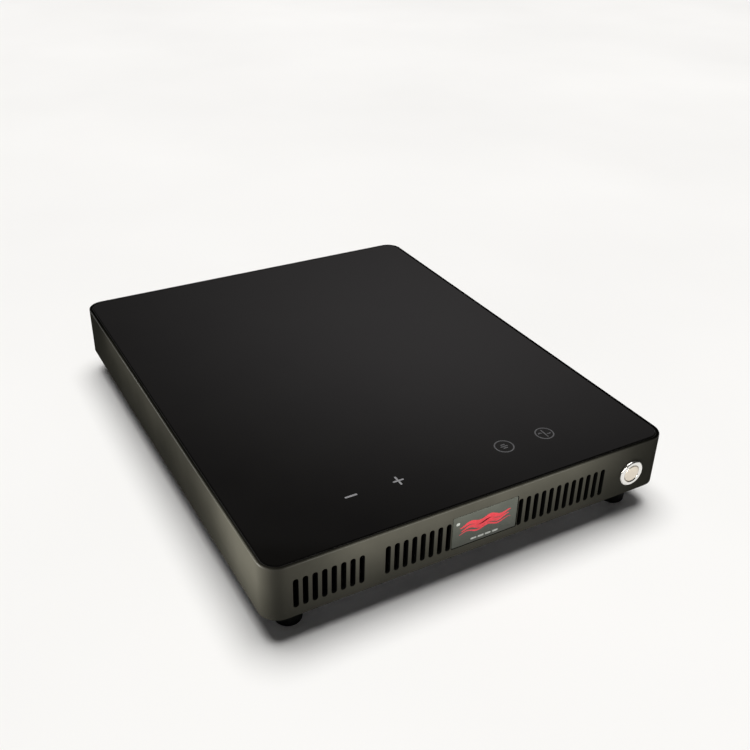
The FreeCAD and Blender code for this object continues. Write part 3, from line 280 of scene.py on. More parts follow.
def add_noise(tree, scale, detail=4.0, stretch=(1, 1, 1)):
    """Noise over the object's own coordinates, in metres."""
    coordinates = tree.nodes.new("ShaderNodeTexCoord")
    mapping = tree.nodes.new("ShaderNodeMapping")
    mapping.inputs["Scale"].default_value = stretch
    noise = tree.nodes.new("ShaderNodeTexNoise")
    noise.inputs["Scale"].default_value = scale
    noise.inputs["Detail"].default_value = detail
    tree.links.new(coordinates.outputs["Object"], mapping.inputs["Vector"])
    tree.links.new(mapping.outputs["Vector"], noise.inputs["Vector"])
    return noise.outputs["Fac"]


def add_range(tree, value, low, high):
    """Spread a 0 to 1 value over a range, from its usual middle stretch."""
    span = tree.nodes.new("ShaderNodeMapRange")
    span.inputs["From Min"].default_value = 0.3
    span.inputs["From Max"].default_value = 0.7
    span.inputs["To Min"].default_value = low
    span.inputs["To Max"].default_value = high
    tree.links.new(value, span.inputs["Value"])
    return span.outputs["Result"]


def add_mix(tree, value, one, other):
    """A colour between two, by a 0 to 1 value."""
    mix = tree.nodes.new("ShaderNodeMix")
    mix.data_type = "RGBA"
    mix.inputs["A"].default_value = (*one, 1)
    mix.inputs["B"].default_value = (*other, 1)
    tree.links.new(value, mix.inputs["Factor"])
    return mix.outputs["Result"]


def add_bump(tree, shader, height, strength, distance):
    """Relief on a shader from a height."""
    bump = tree.nodes.new("ShaderNodeBump")
    bump.inputs["Strength"].default_value = strength
    bump.inputs["Distance"].default_value = distance
    tree.links.new(height, bump.inputs["Height"])
    tree.links.new(bump.outputs["Normal"], shader.inputs["Normal"])


def grained(name, dark, light, rough, metallic=0.0, patch=60, grain=2500, bump=0.12, depth=0.05,
            stretch=(1, 1, 1), specular=0.5):
    """A surface with uneven colour, uneven gloss and a fine grain; depth is in millimetres."""
    material, tree, shader = new_material(name)
    patches = add_noise(tree, patch, 3.0, stretch)
    colour = add_mix(tree, add_range(tree, patches, 0, 1), dark, light)
    tree.links.new(colour, shader.inputs["Base Color"])
    tree.links.new(add_range(tree, patches, rough[0], rough[1]), shader.inputs["Roughness"])
    shader.inputs["Metallic"].default_value = metallic
    shader.inputs["Specular IOR Level"].default_value = specular
    add_bump(tree, shader, add_noise(tree, grain, 2.0, stretch), bump, depth * MM)
    return material


COAT = grained("housing_coat", (0.031, 0.0303, 0.0252), (0.041, 0.0396, 0.033), (0.5, 0.6),
               patch=25, grain=2600, bump=0.25, depth=0.06, specular=0.0)
COAT_EDGE = grained("worn_coat_edge", (0.031, 0.0303, 0.0252), (0.041, 0.0396, 0.033), (0.3, 0.4),
                    patch=25, grain=2600, bump=0.15, depth=0.04, specular=0.08)
# Near-black painted shade for the walls of the vents and of the badge seat, where shade falls.
PAINTED_VENT_SHADE = grained("painted_vent_shade", (0.0015, 0.0015, 0.0014), (0.003, 0.003, 0.0028), (0.8, 0.9),
                     grain=2600, bump=0.1, specular=0.02)
GLASS = grained("black_glass_ceramic", (0.0022, 0.0020, 0.0018), (0.0032, 0.0030, 0.0026),
                (0.05, 0.09), patch=18, grain=600, bump=0.02, depth=0.01)
SILICONE = grained("black_silicone", (0.006, 0.006, 0.006), (0.012, 0.012, 0.012), (0.5, 0.65),
                   patch=200, grain=3000, bump=0.2)
RUBBER = grained("black_rubber", (0.003, 0.003, 0.003), (0.007, 0.007, 0.0065), (0.7, 0.85),
                 patch=150, grain=1800, bump=0.3, depth=0.1, specular=0.1)
BADGE = grained("badge_plate_coat", (0.034, 0.037, 0.031), (0.042, 0.045, 0.038), (0.36, 0.46),
                patch=80, grain=3000, bump=0.15, specular=0.2)
RED_PRINT = grained("red_print", (0.30, 0.010, 0.018), (0.38, 0.015, 0.025), (0.4, 0.5), patch=300,
                    grain=3000, bump=0.1)
PALE_PRINT = grained("pale_print", (0.20, 0.21, 0.20), (0.27, 0.28, 0.27), (0.4, 0.5), patch=300,
                     grain=3000, bump=0.1)
KEY_PRINT = grained("key_print", (0.19, 0.19, 0.20), (0.26, 0.26, 0.27), (0.35, 0.45), patch=400,
                    grain=3000, bump=0.05)
DIM_PRINT = grained("dim_key_print", (0.060, 0.060, 0.064), (0.085, 0.085, 0.09), (0.35, 0.45),
                    patch=400, grain=3000, bump=0.05)
POLISHED = grained("polished_steel", (0.78, 0.77, 0.74), (0.86, 0.85, 0.82), (0.18, 0.26),
                   metallic=1.0, patch=120, bump=0.04, depth=0.02)
SATIN = grained("satin_steel", (0.74, 0.67, 0.57), (0.82, 0.75, 0.64), (0.34, 0.42), metallic=1.0,
                patch=150, grain=3500, bump=0.15, depth=0.03)
ZINC = grained("zinc_sheet", (0.30, 0.30, 0.31), (0.42, 0.42, 0.43), (0.38, 0.55), metallic=0.8,
               patch=90, grain=1200, bump=0.1, depth=0.04)
SCREW_ZINC = grained("zinc_screw", (0.45, 0.44, 0.42), (0.6, 0.59, 0.57), (0.28, 0.4), metallic=1.0,
                     patch=500, grain=4000, bump=0.1, depth=0.03)
NICKEL = grained("nickel", (0.6, 0.57, 0.5), (0.7, 0.66, 0.58), (0.22, 0.32), metallic=1.0,
                 patch=300, grain=3000, bump=0.08, depth=0.03)
BLACK_PLASTIC = grained("black_plastic", (0.010, 0.010, 0.010), (0.020, 0.020, 0.020), (0.45, 0.6),
                        patch=120, grain=2200, bump=0.25)
TRAY = grained("tray_plastic", (0.50, 0.48, 0.42), (0.60, 0.58, 0.52), (0.5, 0.6), grain=1500,
               bump=0.2)
COPPER = grained("copper_strand", (0.55, 0.20, 0.08), (0.75, 0.32, 0.14), (0.3, 0.4), metallic=1.0,
                 patch=900, bump=0.6, depth=0.15)
BRASS = grained("tinned_brass", (0.62, 0.55, 0.36), (0.74, 0.67, 0.45), (0.28, 0.38), metallic=1.0,
                patch=300, grain=3000, bump=0.1)
FERRITE = grained("ferrite", (0.022, 0.022, 0.025), (0.045, 0.045, 0.05), (0.45, 0.6), metallic=0.2,
                  patch=300, bump=0.25)
MICA = grained("mica", (0.42, 0.36, 0.24), (0.60, 0.54, 0.40), (0.4, 0.55), patch=150, grain=900,
               bump=0.25)
BOARD = grained("circuit_board", (0.006, 0.085, 0.030), (0.014, 0.150, 0.050), (0.28, 0.4),
                patch=420, grain=1500, bump=0.3)
ALUMINIUM = grained("extruded_aluminium", (0.62, 0.63, 0.65), (0.74, 0.75, 0.77), (0.3, 0.42),
                    metallic=1.0, patch=200, bump=0.2, stretch=(1, 0.1, 1))
EPOXY = grained("black_epoxy", (0.008, 0.008, 0.009), (0.018, 0.018, 0.019), (0.35, 0.5), patch=300,
                grain=3000, bump=0.2)
FILM_CASE = grained("yellow_case", (0.55, 0.36, 0.03), (0.68, 0.47, 0.06), (0.3, 0.4), patch=120,
                    grain=2000, bump=0.1)
SLEEVE = grained("can_sleeve", (0.03, 0.03, 0.06), (0.05, 0.05, 0.09), (0.25, 0.35), patch=120,
                 grain=2000, bump=0.1)
TAPE = grained("bobbin_tape", (0.55, 0.42, 0.05), (0.7, 0.55, 0.1), (0.25, 0.35), patch=200,
               grain=1500, bump=0.2)
FUSE = grained("fuse_glass", (0.55, 0.57, 0.56), (0.75, 0.77, 0.76), (0.08, 0.15), metallic=0.4,
               patch=200, grain=2000, bump=0.05)
WIRE = grained("wire_sleeve", (0.35, 0.33, 0.30), (0.48, 0.46, 0.43), (0.4, 0.5), patch=200,
               bump=0.1)
FAN = grained("fan_plastic", (0.009, 0.009, 0.010), (0.018, 0.018, 0.019), (0.38, 0.5), patch=120,
              grain=2200, bump=0.15)
STEEL = grained("ground_steel", (0.5, 0.5, 0.5), (0.64, 0.64, 0.64), (0.2, 0.3), metallic=1.0,
                patch=200, grain=3000, bump=0.1, depth=0.03)

SLOT_MATERIALS = {
    "housing": COAT, "glass_ceramic": GLASS, "silicone": SILICONE, "badge": BADGE,
    "rubber": RUBBER, "steel_sheet": ZINC, "screws": SCREW_ZINC, "button_metal": POLISHED,
    "button_satin": SATIN, "nickel": NICKEL, "spring_steel": STEEL, "copper": COPPER,
    "switch_plastic": BLACK_PLASTIC, "tinned_brass": BRASS, "tray_plastic": TRAY,
    "ferrite": FERRITE, "mica": MICA, "circuit_board": BOARD, "sink": ALUMINIUM,
    "black_epoxy": EPOXY, "film_case": FILM_CASE, "can": SLEEVE, "bobbin": TAPE,
    "clear_glass": FUSE, "wire_sleeve": WIRE, "sensor_bead": NICKEL, "fan_plastic": FAN,
    "shaft_steel": STEEL,
}


def paint_nodes():
    """Give every CAD node its slot's procedural material."""
    slots = {part["node"]: part["material_slot"] for part in frame["record"]["subparts"]}
    for name, node in frame["nodes"].items():
        node.data.materials.clear()
        node.data.materials.append(SLOT_MATERIALS[slots[name]])


# ---------------------------------------------------------------- housing, glass and badge


def round_hole(radius, place):
    """Cutter for a round hole through a wall, its axis along local Z."""
    reach = WALL + 1 * MM
    profile = [(0, -1 * MM), (radius, -1 * MM), (radius, reach), (0, reach)]
    return turned("hole", profile, place)


def housing_cutters():
    """The vents, the badge's seat and the holes for the button and the cord inlet."""
    cutters = []
    for face, outward, start, count in VENT_ROWS:
        for index in range(count):
            cutters.append(slot_cutter(start + index * VENT_PITCH, VENT_MIDDLE, face, outward))
    cap_radius = (CAP_HIGH.x - CAP_LOW.x) / 2
    button = facing(1, (BUTTON_MIDDLE.x, FRONT, BUTTON_MIDDLE.z))
    cutters.append(round_hole(cap_radius + 1.35 * MM, button))
    cutters.append(round_hole(INLET_HOLE, facing(-1, (INLET_MIDDLE.x, REAR, INLET_MIDDLE.z))))
    cutters.append(slab("seat", [(0, FRONT - BADGE_HIGH.y), (0, 1 * MM)], BADGE_HALF_X + SEAT_GAP,
                        BADGE_HALF_Z + SEAT_GAP, 1.3 * MM, 6,
                        facing(-1, (BADGE_MIDDLE.x, FRONT, BADGE_MIDDLE.z))))
    return cutters


def shade_housing(shell):
    """Paint shade on the walls of vents and badge seat with a near-black colour, and give the top
    edge the glossy finish.
    """
    near = 0.01 * MM
    for face in shell.polygons:
        middle = face.center
        depth = min(middle.y - FRONT, REAR - middle.y)
        in_row = (abs(middle.x) < HALF_WIDTH - CORNER
                  and abs(middle.z - VENT_MIDDLE) < VENT_HEIGHT / 2 + 0.3 * MM)
        beside_badge = max(abs(middle.x - BADGE_MIDDLE.x) - BADGE_HALF_X,
                           abs(middle.z - BADGE_MIDDLE.z) - BADGE_HALF_Z)
        if middle.z > TOP - EDGE_ROUND and 0.05 < face.normal.z < 0.98:
            face.material_index = 2
        # Painted shade: the walls inside the vents get the near-black colour.
        if in_row and near < depth < WALL - near and abs(face.normal.y) < 0.9:
            face.material_index = 1
        # Painted shade: the badge seat's walls get the near-black colour, a painted shadow line
        # round the badge.
        if beside_badge < SEAT_GAP + near and near < middle.y - FRONT < 1.2 * MM:
            face.material_index = 1


def make_housing():
    """The casing with its rim, the ledge for the glass, its openings and four screw bosses."""
    ledge = GASKET_LOW.z
    profile = [(0.4 * MM, BOTTOM), (0, BOTTOM + 0.4 * MM)]
    profile += round_edge(EDGE_ROUND, TOP - EDGE_ROUND, EDGE_ROUND, 0, 6)
    profile += [(RIM - 0.2 * MM, TOP), (RIM, TOP - 0.2 * MM), (RIM, ledge), (RIM + LEDGE, ledge),
                (RIM + LEDGE, ledge - 2 * MM), (WALL, ledge - 2 * MM), (WALL, BOTTOM)]
    shell = swept_ring("housing", profile, HALF_WIDTH, HALF_DEPTH, CORNER)
    parts = [less(shell, joined("cutters", housing_cutters()))]
    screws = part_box("base_screws")[1]
    bore, outside, shelf = SCREW_SHANK, 5 * MM, ledge - 1.9 * MM
    tube = [(bore, BASE_TOP), (outside, BASE_TOP), (outside, shelf), (bore, shelf)]
    for side in (-1, 1):
        for end in (-1, 1):
            across, along = side * (screws.x - SCREW_HEAD), end * (screws.y - SCREW_HEAD)
            parts.append(turned("boss", tube, Matrix.Translation((across, along, 0)), 32))
    shell = joined("housing", parts)
    mesh_piece("housing", shell, "unit", COAT, ["housing_shell"])
    # Slot 1 holds the painted shade of the vent and seat walls, slot 2 the glossier top edge.
    shell.materials.append(PAINTED_VENT_SHADE)
    shell.materials.append(COAT_EDGE)
    shade_housing(shell)


def make_glass():
    """The plate, with its edge ground to a narrow facet and the corners softened, and its seal."""
    face = GLASS_HIGH.z - 0.03 * MM
    facet = 0.6 * MM
    loops = [(0.3 * MM, GLASS_LOW.z), (0, GLASS_LOW.z + 0.3 * MM), (0, face - facet),
             (0.08 * MM, face - facet + 0.12 * MM), (facet - 0.12 * MM, face - 0.08 * MM),
             (facet, face)]
    plate = slab("glass", loops, GLASS_HIGH.x, GLASS_HIGH.y, CORNER - GLASS_INSET, 24)
    mesh_piece("glass_plate", plate, "unit", GLASS, ["glass_top"])
    lip, seat = 0.4 * MM, 5.4 * MM
    profile = [(0, GASKET_LOW.z), (0, TOP - 0.7 * MM), (lip, TOP - 0.5 * MM), (lip, GLASS_LOW.z),
               (seat, GLASS_LOW.z), (seat, GASKET_LOW.z)]
    seal = swept_ring("seal", profile, HALF_WIDTH - RIM, HALF_DEPTH - RIM, CORNER - RIM)
    mesh_piece("glass_seal", seal, "unit", SILICONE, ["glass_gasket"])


def flat_bar(length, width, across, along, angle=0.0):
    """A printed bar with round ends lying on the glass."""
    place = Matrix.Translation((across, along, GLASS_HIGH.z)) @ Matrix.Rotation(angle, 4, "Z")
    levels = [(0, -PRINT_DEPTH), (0, 0)]
    return slab("bar", levels, length / 2, width / 2, width / 2 * 0.98, 4, place)


def flat_ring(radius, stroke, across, along, start=0.0, end=2 * math.pi, steps=48):
    """A printed ring, or an arc of one, lying on the glass."""
    high = GLASS_HIGH.z
    low = high - PRINT_DEPTH
    inside = radius - stroke
    whole = end - start > 2 * math.pi - 1e-6
    vertices = []
    for step in range(steps if whole else steps + 1):
        angle = start + (end - start) * step / steps
        for reach, level in ((radius, low), (radius, high), (inside, high), (inside, low)):
            vertices.append((across + reach * math.cos(angle), along + reach * math.sin(angle),
                             level))
    return mesh_from("ring", vertices, bands(len(vertices) // 4, 4, closed=whole))


def make_keys():
    """The four printed keys: minus, plus, and two ringed ones."""
    minus = flat_bar(8.8 * MM, 1.6 * MM, -OUTER_KEY, KEY_ALONG)
    mesh_piece("key_minus", minus, "unit", KEY_PRINT)

    bar, arm = 1.4 * MM, 3.9 * MM
    plus = [flat_bar(8.0 * MM, bar, -INNER_KEY, KEY_ALONG)]
    for side in (-1, 1):
        middle = KEY_ALONG + side * (0.75 * MM + arm / 2)
        plus.append(flat_bar(arm, bar, -INNER_KEY, middle, math.pi / 2))
    mesh_piece("key_plus", joined("plus", plus), "unit", KEY_PRINT)

    stroke = 0.95 * MM
    mode = [flat_ring(7.1 * MM, stroke, INNER_KEY, KEY_ALONG)]
    for offset, length in ((-1.9, 3.6), (0, 6.0), (1.9, 3.6)):
        mode.append(flat_bar(length * MM, 1.0 * MM, INNER_KEY, KEY_ALONG + offset * MM))
    mesh_piece("key_mode", joined("mode", mode), "unit", DIM_PRINT)

    level = [flat_ring(6.9 * MM, stroke, OUTER_KEY, KEY_ALONG),
             flat_bar(9.0 * MM, stroke, OUTER_KEY, KEY_ALONG, math.pi / 2)]
    for side, turn in ((-1, 0), (1, math.pi)):
        across, along = OUTER_KEY + side * 3.1 * MM, KEY_ALONG - side * 0.4 * MM
        level.append(flat_ring(1.7 * MM, stroke, across, along, turn + 0.2, turn + math.pi - 0.2,
                               12))
    mesh_piece("key_level", joined("level", level), "unit", DIM_PRINT)


def make_badge():
    """The plate in its seat, with plain waves, a dashed line and a dot printed on it."""
    depth = BADGE_HIGH.y - BADGE_LOW.y
    front = depth - 0.06 * MM
    place = facing(-1, (BADGE_MIDDLE.x, BADGE_HIGH.y, BADGE_MIDDLE.z))
    loops = [(0, 0), (0, front - 0.3 * MM), (0.1 * MM, front - 0.1 * MM), (0.3 * MM, front)]
    plate = slab("badge", loops, BADGE_HALF_X, BADGE_HALF_Z, 1 * MM, 6, place)
    mesh_piece("badge", plate, "unit", BADGE, ["badge_plate"])

    waves = []
    for rise, reach, height, phase in WAVES:
        waves.append(wave_print(place, rise * MM, reach * MM, height * MM, phase, front))
    mesh_piece("badge_mark", joined("mark", waves), "unit", RED_PRINT)

    print_loops = [(0, front - 0.02 * MM), (0, depth - 0.02 * MM)]
    line = []
    for index in range(4):
        shift = Matrix.Translation(((index - 1.5) * 5.6 * MM, -9.2 * MM, 0))
        line.append(slab("dash", print_loops, 2.3 * MM, 0.7 * MM, 0.6 * MM, 3, place @ shift))
    shift = Matrix.Translation((-21.2 * MM, 6.5 * MM, 0))
    line.append(slab("dot", print_loops, 1.3 * MM, 1.1 * MM, 0.8 * MM, 5, place @ shift))
    mesh_piece("badge_line", joined("line", line), "unit", PALE_PRINT)


def wave_print(place, rise, reach, height, phase, front, steps=60):
    """A wave that swells in the middle and thins out at its ends."""
    low, high = front - 0.02 * MM, front + 0.04 * MM
    vertices = []
    for step in range(steps + 1):
        share = 2 * step / steps - 1
        swell = height * (1 - 0.85 * share ** 2)
        level = rise + 1.1 * MM * math.sin(2.5 * math.pi * share + phase)
        for edge, lift in ((swell, low), (swell, high), (-swell, high), (-swell, low)):
            vertices.append(place @ Vector((share * reach, level + edge, lift)))
    return mesh_from("wave", vertices, bands(steps + 1, 4))


# ---------------------------------------------------------------- push button, feet and inlet


def make_button():
    """Bezel with a crowned polished face and a satin cap behind a dark groove."""
    place = facing(1, (BUTTON_MIDDLE.x, FRONT, BUTTON_MIDDLE.z))
    front, back = BEZEL_LOW.y - FRONT, BEZEL_HIGH.y - FRONT
    outer = (BEZEL_HIGH.x - BEZEL_LOW.x) / 2
    skirt = (CAP_HIGH.x - CAP_LOW.x) / 2
    cap = skirt - 0.7 * MM
    bore = cap + 0.15 * MM
    barrel = skirt + 1.2 * MM
    chamber, chamber_back = skirt + 0.2 * MM, back - 2.5 * MM
    profile = [(outer - 0.1 * MM, -0.5 * MM), (outer, -0.6 * MM), (outer, front + 1.2 * MM),
               (outer - 0.12 * MM, front + 0.75 * MM), (outer - 0.45 * MM, front + 0.35 * MM),
               (outer - 0.9 * MM, front + 0.1 * MM), (outer - 1.4 * MM, front),
               (bore + 1.1 * MM, front), (bore + 0.55 * MM, front + 0.14 * MM),
               (bore + 0.2 * MM, front + 0.45 * MM), (bore, front + 0.9 * MM), (bore, 2.9 * MM),
               (chamber, 2.9 * MM), (chamber, chamber_back), (1.75 * MM, chamber_back),
               (1.75 * MM, back), (barrel, back), (barrel, -0.5 * MM)]
    mesh_piece("button_ring", turned("ring", profile, place, 96), "unit", POLISHED,
               ["button_bezel"])

    head, end = CAP_LOW.y - FRONT, CAP_HIGH.y - FRONT
    stem, shoulder, skirt_back = 1.6 * MM, 3.05 * MM, 5.05 * MM
    profile = [(0, head + 0.1 * MM), (cap - 2.2 * MM, head + 0.1 * MM),
               (cap - 1.7 * MM, head + 0.05 * MM), (cap - 0.8 * MM, head),
               (cap - 0.35 * MM, head + 0.1 * MM), (cap - 0.08 * MM, head + 0.4 * MM),
               (cap, head + 0.8 * MM), (cap, shoulder), (skirt, shoulder), (skirt, skirt_back),
               (stem, skirt_back), (stem, end), (0, end)]
    mesh_piece("button_head", turned("head", profile, place, 96), "power_button",
               SATIN, ["button_cap"])


def make_button_spring():
    """Coil spring with closed end turns."""
    wire = 0.45 * MM
    across = (SPRING_LOW.x + SPRING_HIGH.x) / 2
    level = (SPRING_LOW.z + SPRING_HIGH.z) / 2
    radius = (SPRING_HIGH.x - SPRING_LOW.x) / 2 - wire
    length = SPRING_HIGH.y - SPRING_LOW.y
    turns, end_pitch, steps, sides = 6.5, 1.0 * MM, 40, 12
    pitch = (length - 2 * wire - 2 * end_pitch) / (turns - 2)
    back = Vector((0, 1, 0))
    vertices = []
    for step in range(int(turns * steps) + 1):
        turn = step / steps
        closed = min(turn, 1) + max(turn - turns + 1, 0)
        run = end_pitch * closed + pitch * (turn - closed)
        angle = 2 * math.pi * turn
        outward = Vector((math.cos(angle), 0, math.sin(angle)))
        middle = Vector((across, SPRING_LOW.y + wire + run, level)) + outward * radius
        for side in range(sides):
            lean = 2 * math.pi * side / sides
            vertices.append(middle + wire * (math.cos(lean) * outward + math.sin(lean) * back))
    mesh = mesh_from("coil", vertices, bands(len(vertices) // sides, sides))
    coil = mesh_piece("button_coil", mesh, "unit", STEEL, ["button_spring"])
    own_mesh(coil)


def cross_head_screw(across, along, head, tip):
    """A pan-head screw pointing up, with a tapered cross cut into its head, which faces down."""
    place = Matrix.Translation((across, along, 0))
    seat = head + 2.2 * MM
    profile = [(0, head), (2.4 * MM, head), (3.1 * MM, head + 0.35 * MM),
               (SCREW_HEAD, head + 1.0 * MM), (SCREW_HEAD, seat), (SCREW_SHANK, seat),
               (SCREW_SHANK, tip), (0, tip)]
    screw = turned("screw", profile, place, 32)
    mouth = place @ Matrix.Translation((0, 0, head)) @ Matrix.Rotation(math.pi, 4, "X")
    taper = [(0.2 * MM, -0.9 * MM), (0, 0.05 * MM)]
    for turn in (0, math.pi / 2):
        blade = slab("blade", taper, 2.1 * MM, 0.45 * MM, 0.25 * MM, 2,
                     mouth @ Matrix.Rotation(turn, 4, "Z"))
        screw = less(screw, blade)
    return cleaned(screw, 5e-6, 2e-6)


def make_feet():
    """Rubber feet with a softened tread, a flange and a moulding line, and a screw up each well."""
    screw_low, screw_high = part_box("foot_screws")
    radius, line, well, well_top = 8.9 * MM, 10 * MM, 3.9 * MM, 13 * MM
    bore = 1.9 * MM
    screws = []
    for name in ("foot_front_left", "foot_front_right", "foot_rear_left", "foot_rear_right"):
        low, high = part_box(name)
        middle = (low + high) / 2
        flange = (high.x - low.x) / 2
        top = high.z
        profile = [(well, 0.5 * MM), (4.4 * MM, 0), (radius - 1.1 * MM, 0),
                   (radius - 0.45 * MM, 0.25 * MM), (radius - 0.1 * MM, 0.75 * MM),
                   (radius, 1.4 * MM), (radius, line - 0.4 * MM), (radius - 0.25 * MM, line),
                   (radius, line + 0.4 * MM), (radius, top - 3.2 * MM),
                   (radius + 0.2 * MM, top - 2.7 * MM), (radius + 0.9 * MM, top - 2.3 * MM),
                   (flange - 0.3 * MM, top - 2.1 * MM), (flange, top - 1.8 * MM), (flange, top),
                   (bore, top), (bore, well_top), (well, well_top)]
        foot = turned("foot", profile, Matrix.Translation((middle.x, middle.y, 0)), 64)
        mesh_piece(name.replace("foot", "rubber_foot"), foot, "unit", RUBBER, [name])
        screws.append(cross_head_screw(middle.x, middle.y, screw_low.z, screw_high.z))
    mesh_piece("foot_screw_set", joined("screws", screws), "unit", SCREW_ZINC,
               ["foot_screws"])


def make_base_screws():
    """The four screws that hold the base plate to the casing's bosses."""
    low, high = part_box("base_screws")
    across, along = high.x - SCREW_HEAD, high.y - SCREW_HEAD
    screws = []
    for side in (-1, 1):
        for end in (-1, 1):
            screws.append(cross_head_screw(side * across, end * along, low.z, high.z))
    mesh_piece("base_screw_set", joined("screws", screws), "unit", SCREW_ZINC,
               ["base_screws"])


def make_inlet():
    """Rubber bushing with a domed flange round the cord's hole."""
    out, inner = INLET_HIGH.y - REAR, INLET_LOW.y - REAR
    flange = (INLET_HIGH.x - INLET_LOW.x) / 2
    profile = [(INLET_BORE, out - 0.5 * MM), (INLET_BORE + 0.5 * MM, out),
               (flange - 2 * MM, out), (flange - 0.8 * MM, out - 0.4 * MM),
               (flange - 0.15 * MM, out - 1.2 * MM), (flange, 0), (INLET_HOLE, 0),
               (INLET_HOLE, -WALL), (8 * MM, -WALL), (7.4 * MM, inner), (INLET_BORE, inner)]
    bushing = turned("inlet", profile, facing(1, (INLET_MIDDLE.x, REAR, INLET_MIDDLE.z)), 64)
    mesh_piece("inlet_bushing", bushing, "unit", RUBBER, ["cord_bushing"])


# ---------------------------------------------------------------- stage, light and camera


def stage_sheet(name, corners):
    """A one-face sheet of the stage, which isn't part of the object."""
    mesh = bpy.data.meshes.new(name)
    mesh.from_pydata(corners, [], [(0, 1, 2, 3)])
    piece = bpy.data.objects.new(name, mesh)
    bpy.context.scene.collection.objects.link(piece)
    return piece


def make_stage():
    """Pale floor and a faint warm surround."""
    half = 9.0
    piece = stage_sheet("floor", [(-half, -half, 0), (half, -half, 0), (half, half, 0),
                                  (-half, half, 0)])
    piece.data.materials.append(grained("floor", (0.86, 0.86, 0.86), (0.9, 0.9, 0.9), (0.7, 0.8),
                                        patch=2, grain=300, bump=0.02, depth=0.1, specular=0.2))

    world = bpy.data.worlds.new("studio")
    world.use_nodes = True
    world.node_tree.nodes["Background"].inputs["Color"].default_value = (1.0, 0.97, 0.93, 1)
    world.node_tree.nodes["Background"].inputs["Strength"].default_value = 0.03
    bpy.context.scene.world = world


def glow_material():
    """Light that is strongest round one place on the backdrop and fades outwards."""
    material = bpy.data.materials.new("backdrop_glow")
    material.use_nodes = True
    tree = material.node_tree
    tree.nodes.clear()
    coordinates = tree.nodes.new("ShaderNodeTexCoord")
    mapping = tree.nodes.new("ShaderNodeMapping")
    mapping.vector_type = "TEXTURE"
    mapping.inputs["Location"].default_value = (0.34, 0, 1.88)
    mapping.inputs["Rotation"].default_value = (0, -0.096, 0)
    mapping.inputs["Scale"].default_value = (1.9, 1, 1.08)
    gradient = tree.nodes.new("ShaderNodeTexGradient")
    gradient.gradient_type = "SPHERICAL"
    span = tree.nodes.new("ShaderNodeMapRange")
    span.interpolation_type = "SMOOTHSTEP"
    span.inputs["To Min"].default_value = 0.088
    span.inputs["To Max"].default_value = 0.30
    glow = tree.nodes.new("ShaderNodeEmission")
    glow.inputs["Color"].default_value = (1.0, 0.955, 0.97, 1)
    output = tree.nodes.new("ShaderNodeOutputMaterial")
    tree.links.new(coordinates.outputs["Object"], mapping.inputs["Vector"])
    tree.links.new(mapping.outputs["Vector"], gradient.inputs["Vector"])
    tree.links.new(gradient.outputs["Fac"], span.inputs["Value"])
    tree.links.new(span.outputs["Result"], glow.inputs["Strength"])
    tree.links.new(glow.outputs["Emission"], output.inputs["Surface"])
    return material


def make_backdrop():
    """A softly glowing wall behind and to the right, which the glass mirrors."""
    half, height, distance, turn = 3.5, 3.03, 3.2, math.radians(-30)
    piece = stage_sheet("backdrop", [(-half, 0, 0), (half, 0, 0), (half, 0, height),
                                     (-half, 0, height)])
    piece.matrix_world = (Matrix.Rotation(turn, 4, "Z")
                          @ Matrix.Translation((0, distance, 0)))
    piece.visible_shadow = False
    piece.data.materials.append(glow_material())


def lit_group(name, pieces):
    """The pieces that a light reaches."""
    group = bpy.data.collections.new(name)
    for piece in pieces:
        group.objects.link(piece)
    return group


def add_light(name, place, target, width, height, power, colour, receivers):
    """A soft panel that lights only some pieces."""
    data = bpy.data.lights.new(name, "AREA")
    data.shape = "RECTANGLE"
    data.size = width
    data.size_y = height
    data.energy = power
    data.color = colour
    lamp = bpy.data.objects.new(name, data)
    lamp.location = place
    lamp.rotation_euler = (Vector(target) - Vector(place)).to_track_quat("-Z", "Y").to_euler()
    lamp.light_linking.receiver_collection = receivers
    bpy.context.scene.collection.objects.link(lamp)


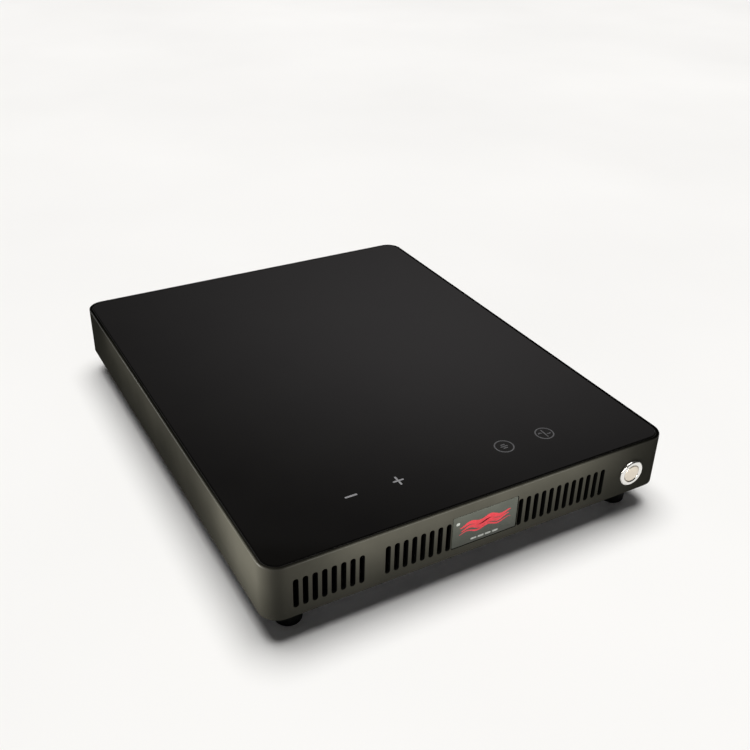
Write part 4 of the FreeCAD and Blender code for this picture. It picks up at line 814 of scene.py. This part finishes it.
def make_lights():
    """An overhead key light, which spares the housing, and three panels at its front and left.

    The panels reach only the housing and what is set into its front.
    """
    meshes = [item for item in bpy.context.scene.objects if item.type == "MESH"]
    data = bpy.data.lights.new("key", "SUN")
    data.energy = 3.3
    data.angle = math.radians(45)
    data.color = (1.0, 0.99, 0.97)
    lamp = bpy.data.objects.new("key", data)
    lamp.rotation_euler = Vector((0.05, 0.12, 1.0)).to_track_quat("Z", "Y").to_euler()
    others = [item for item in meshes if item.name != "housing"]
    lamp.light_linking.receiver_collection = lit_group("lit_by_key", others)
    bpy.context.scene.collection.objects.link(lamp)

    faces = ("housing", "badge", "badge_mark", "badge_line", "button_ring", "button_head")
    sides = lit_group("lit_by_panels", [item for item in meshes if item.name in faces])
    warm = (1, 0.98, 0.92)
    height = 0.062
    middle, left, corner = -0.0135, -HALF_WIDTH, -0.16
    add_light("front_strip", (middle, FRONT - 0.035, height), (middle, FRONT, height + 0.006),
              0.227, 0.008, 0.152, warm, sides)
    add_light("left_strip", (left - 0.026, 0, height), (left, 0, height + 0.006),
              0.25, 0.008, 0.052, warm, sides)
    add_light("left_panel", (left - 0.05, corner, height), (left, corner, height),
              0.04, 0.012, 0.139, warm, sides)


def make_camera():
    """The lens looks down on the front left corner, rolled a little."""
    azimuth = math.radians(-29.98)
    elevation = math.radians(30.64)
    roll = math.radians(1.478)
    back = Vector((math.sin(azimuth) * math.cos(elevation),
                   -math.cos(azimuth) * math.cos(elevation), math.sin(elevation)))
    level = Vector((math.cos(azimuth), math.sin(azimuth), 0))
    upright = back.cross(level)
    right = math.cos(roll) * level + math.sin(roll) * upright
    up = math.cos(roll) * upright - math.sin(roll) * level
    data = bpy.data.cameras.new("camera")
    data.lens = 45.9
    data.sensor_width = 36
    data.clip_start = 0.01
    camera = bpy.data.objects.new("camera", data)
    turn = Matrix((right, up, back)).transposed().to_4x4()
    camera.matrix_world = Matrix.Translation((-0.3027, -0.5691, 0.4309)) @ turn
    bpy.context.scene.collection.objects.link(camera)
    bpy.context.scene.camera = camera


paint_nodes()
make_housing()
make_glass()
make_keys()
make_badge()
make_button()
make_button_spring()
make_feet()
make_base_screws()
make_inlet()
make_stage()
make_backdrop()
make_lights()
make_camera()
bpy.context.scene.view_settings.view_transform = "Standard"
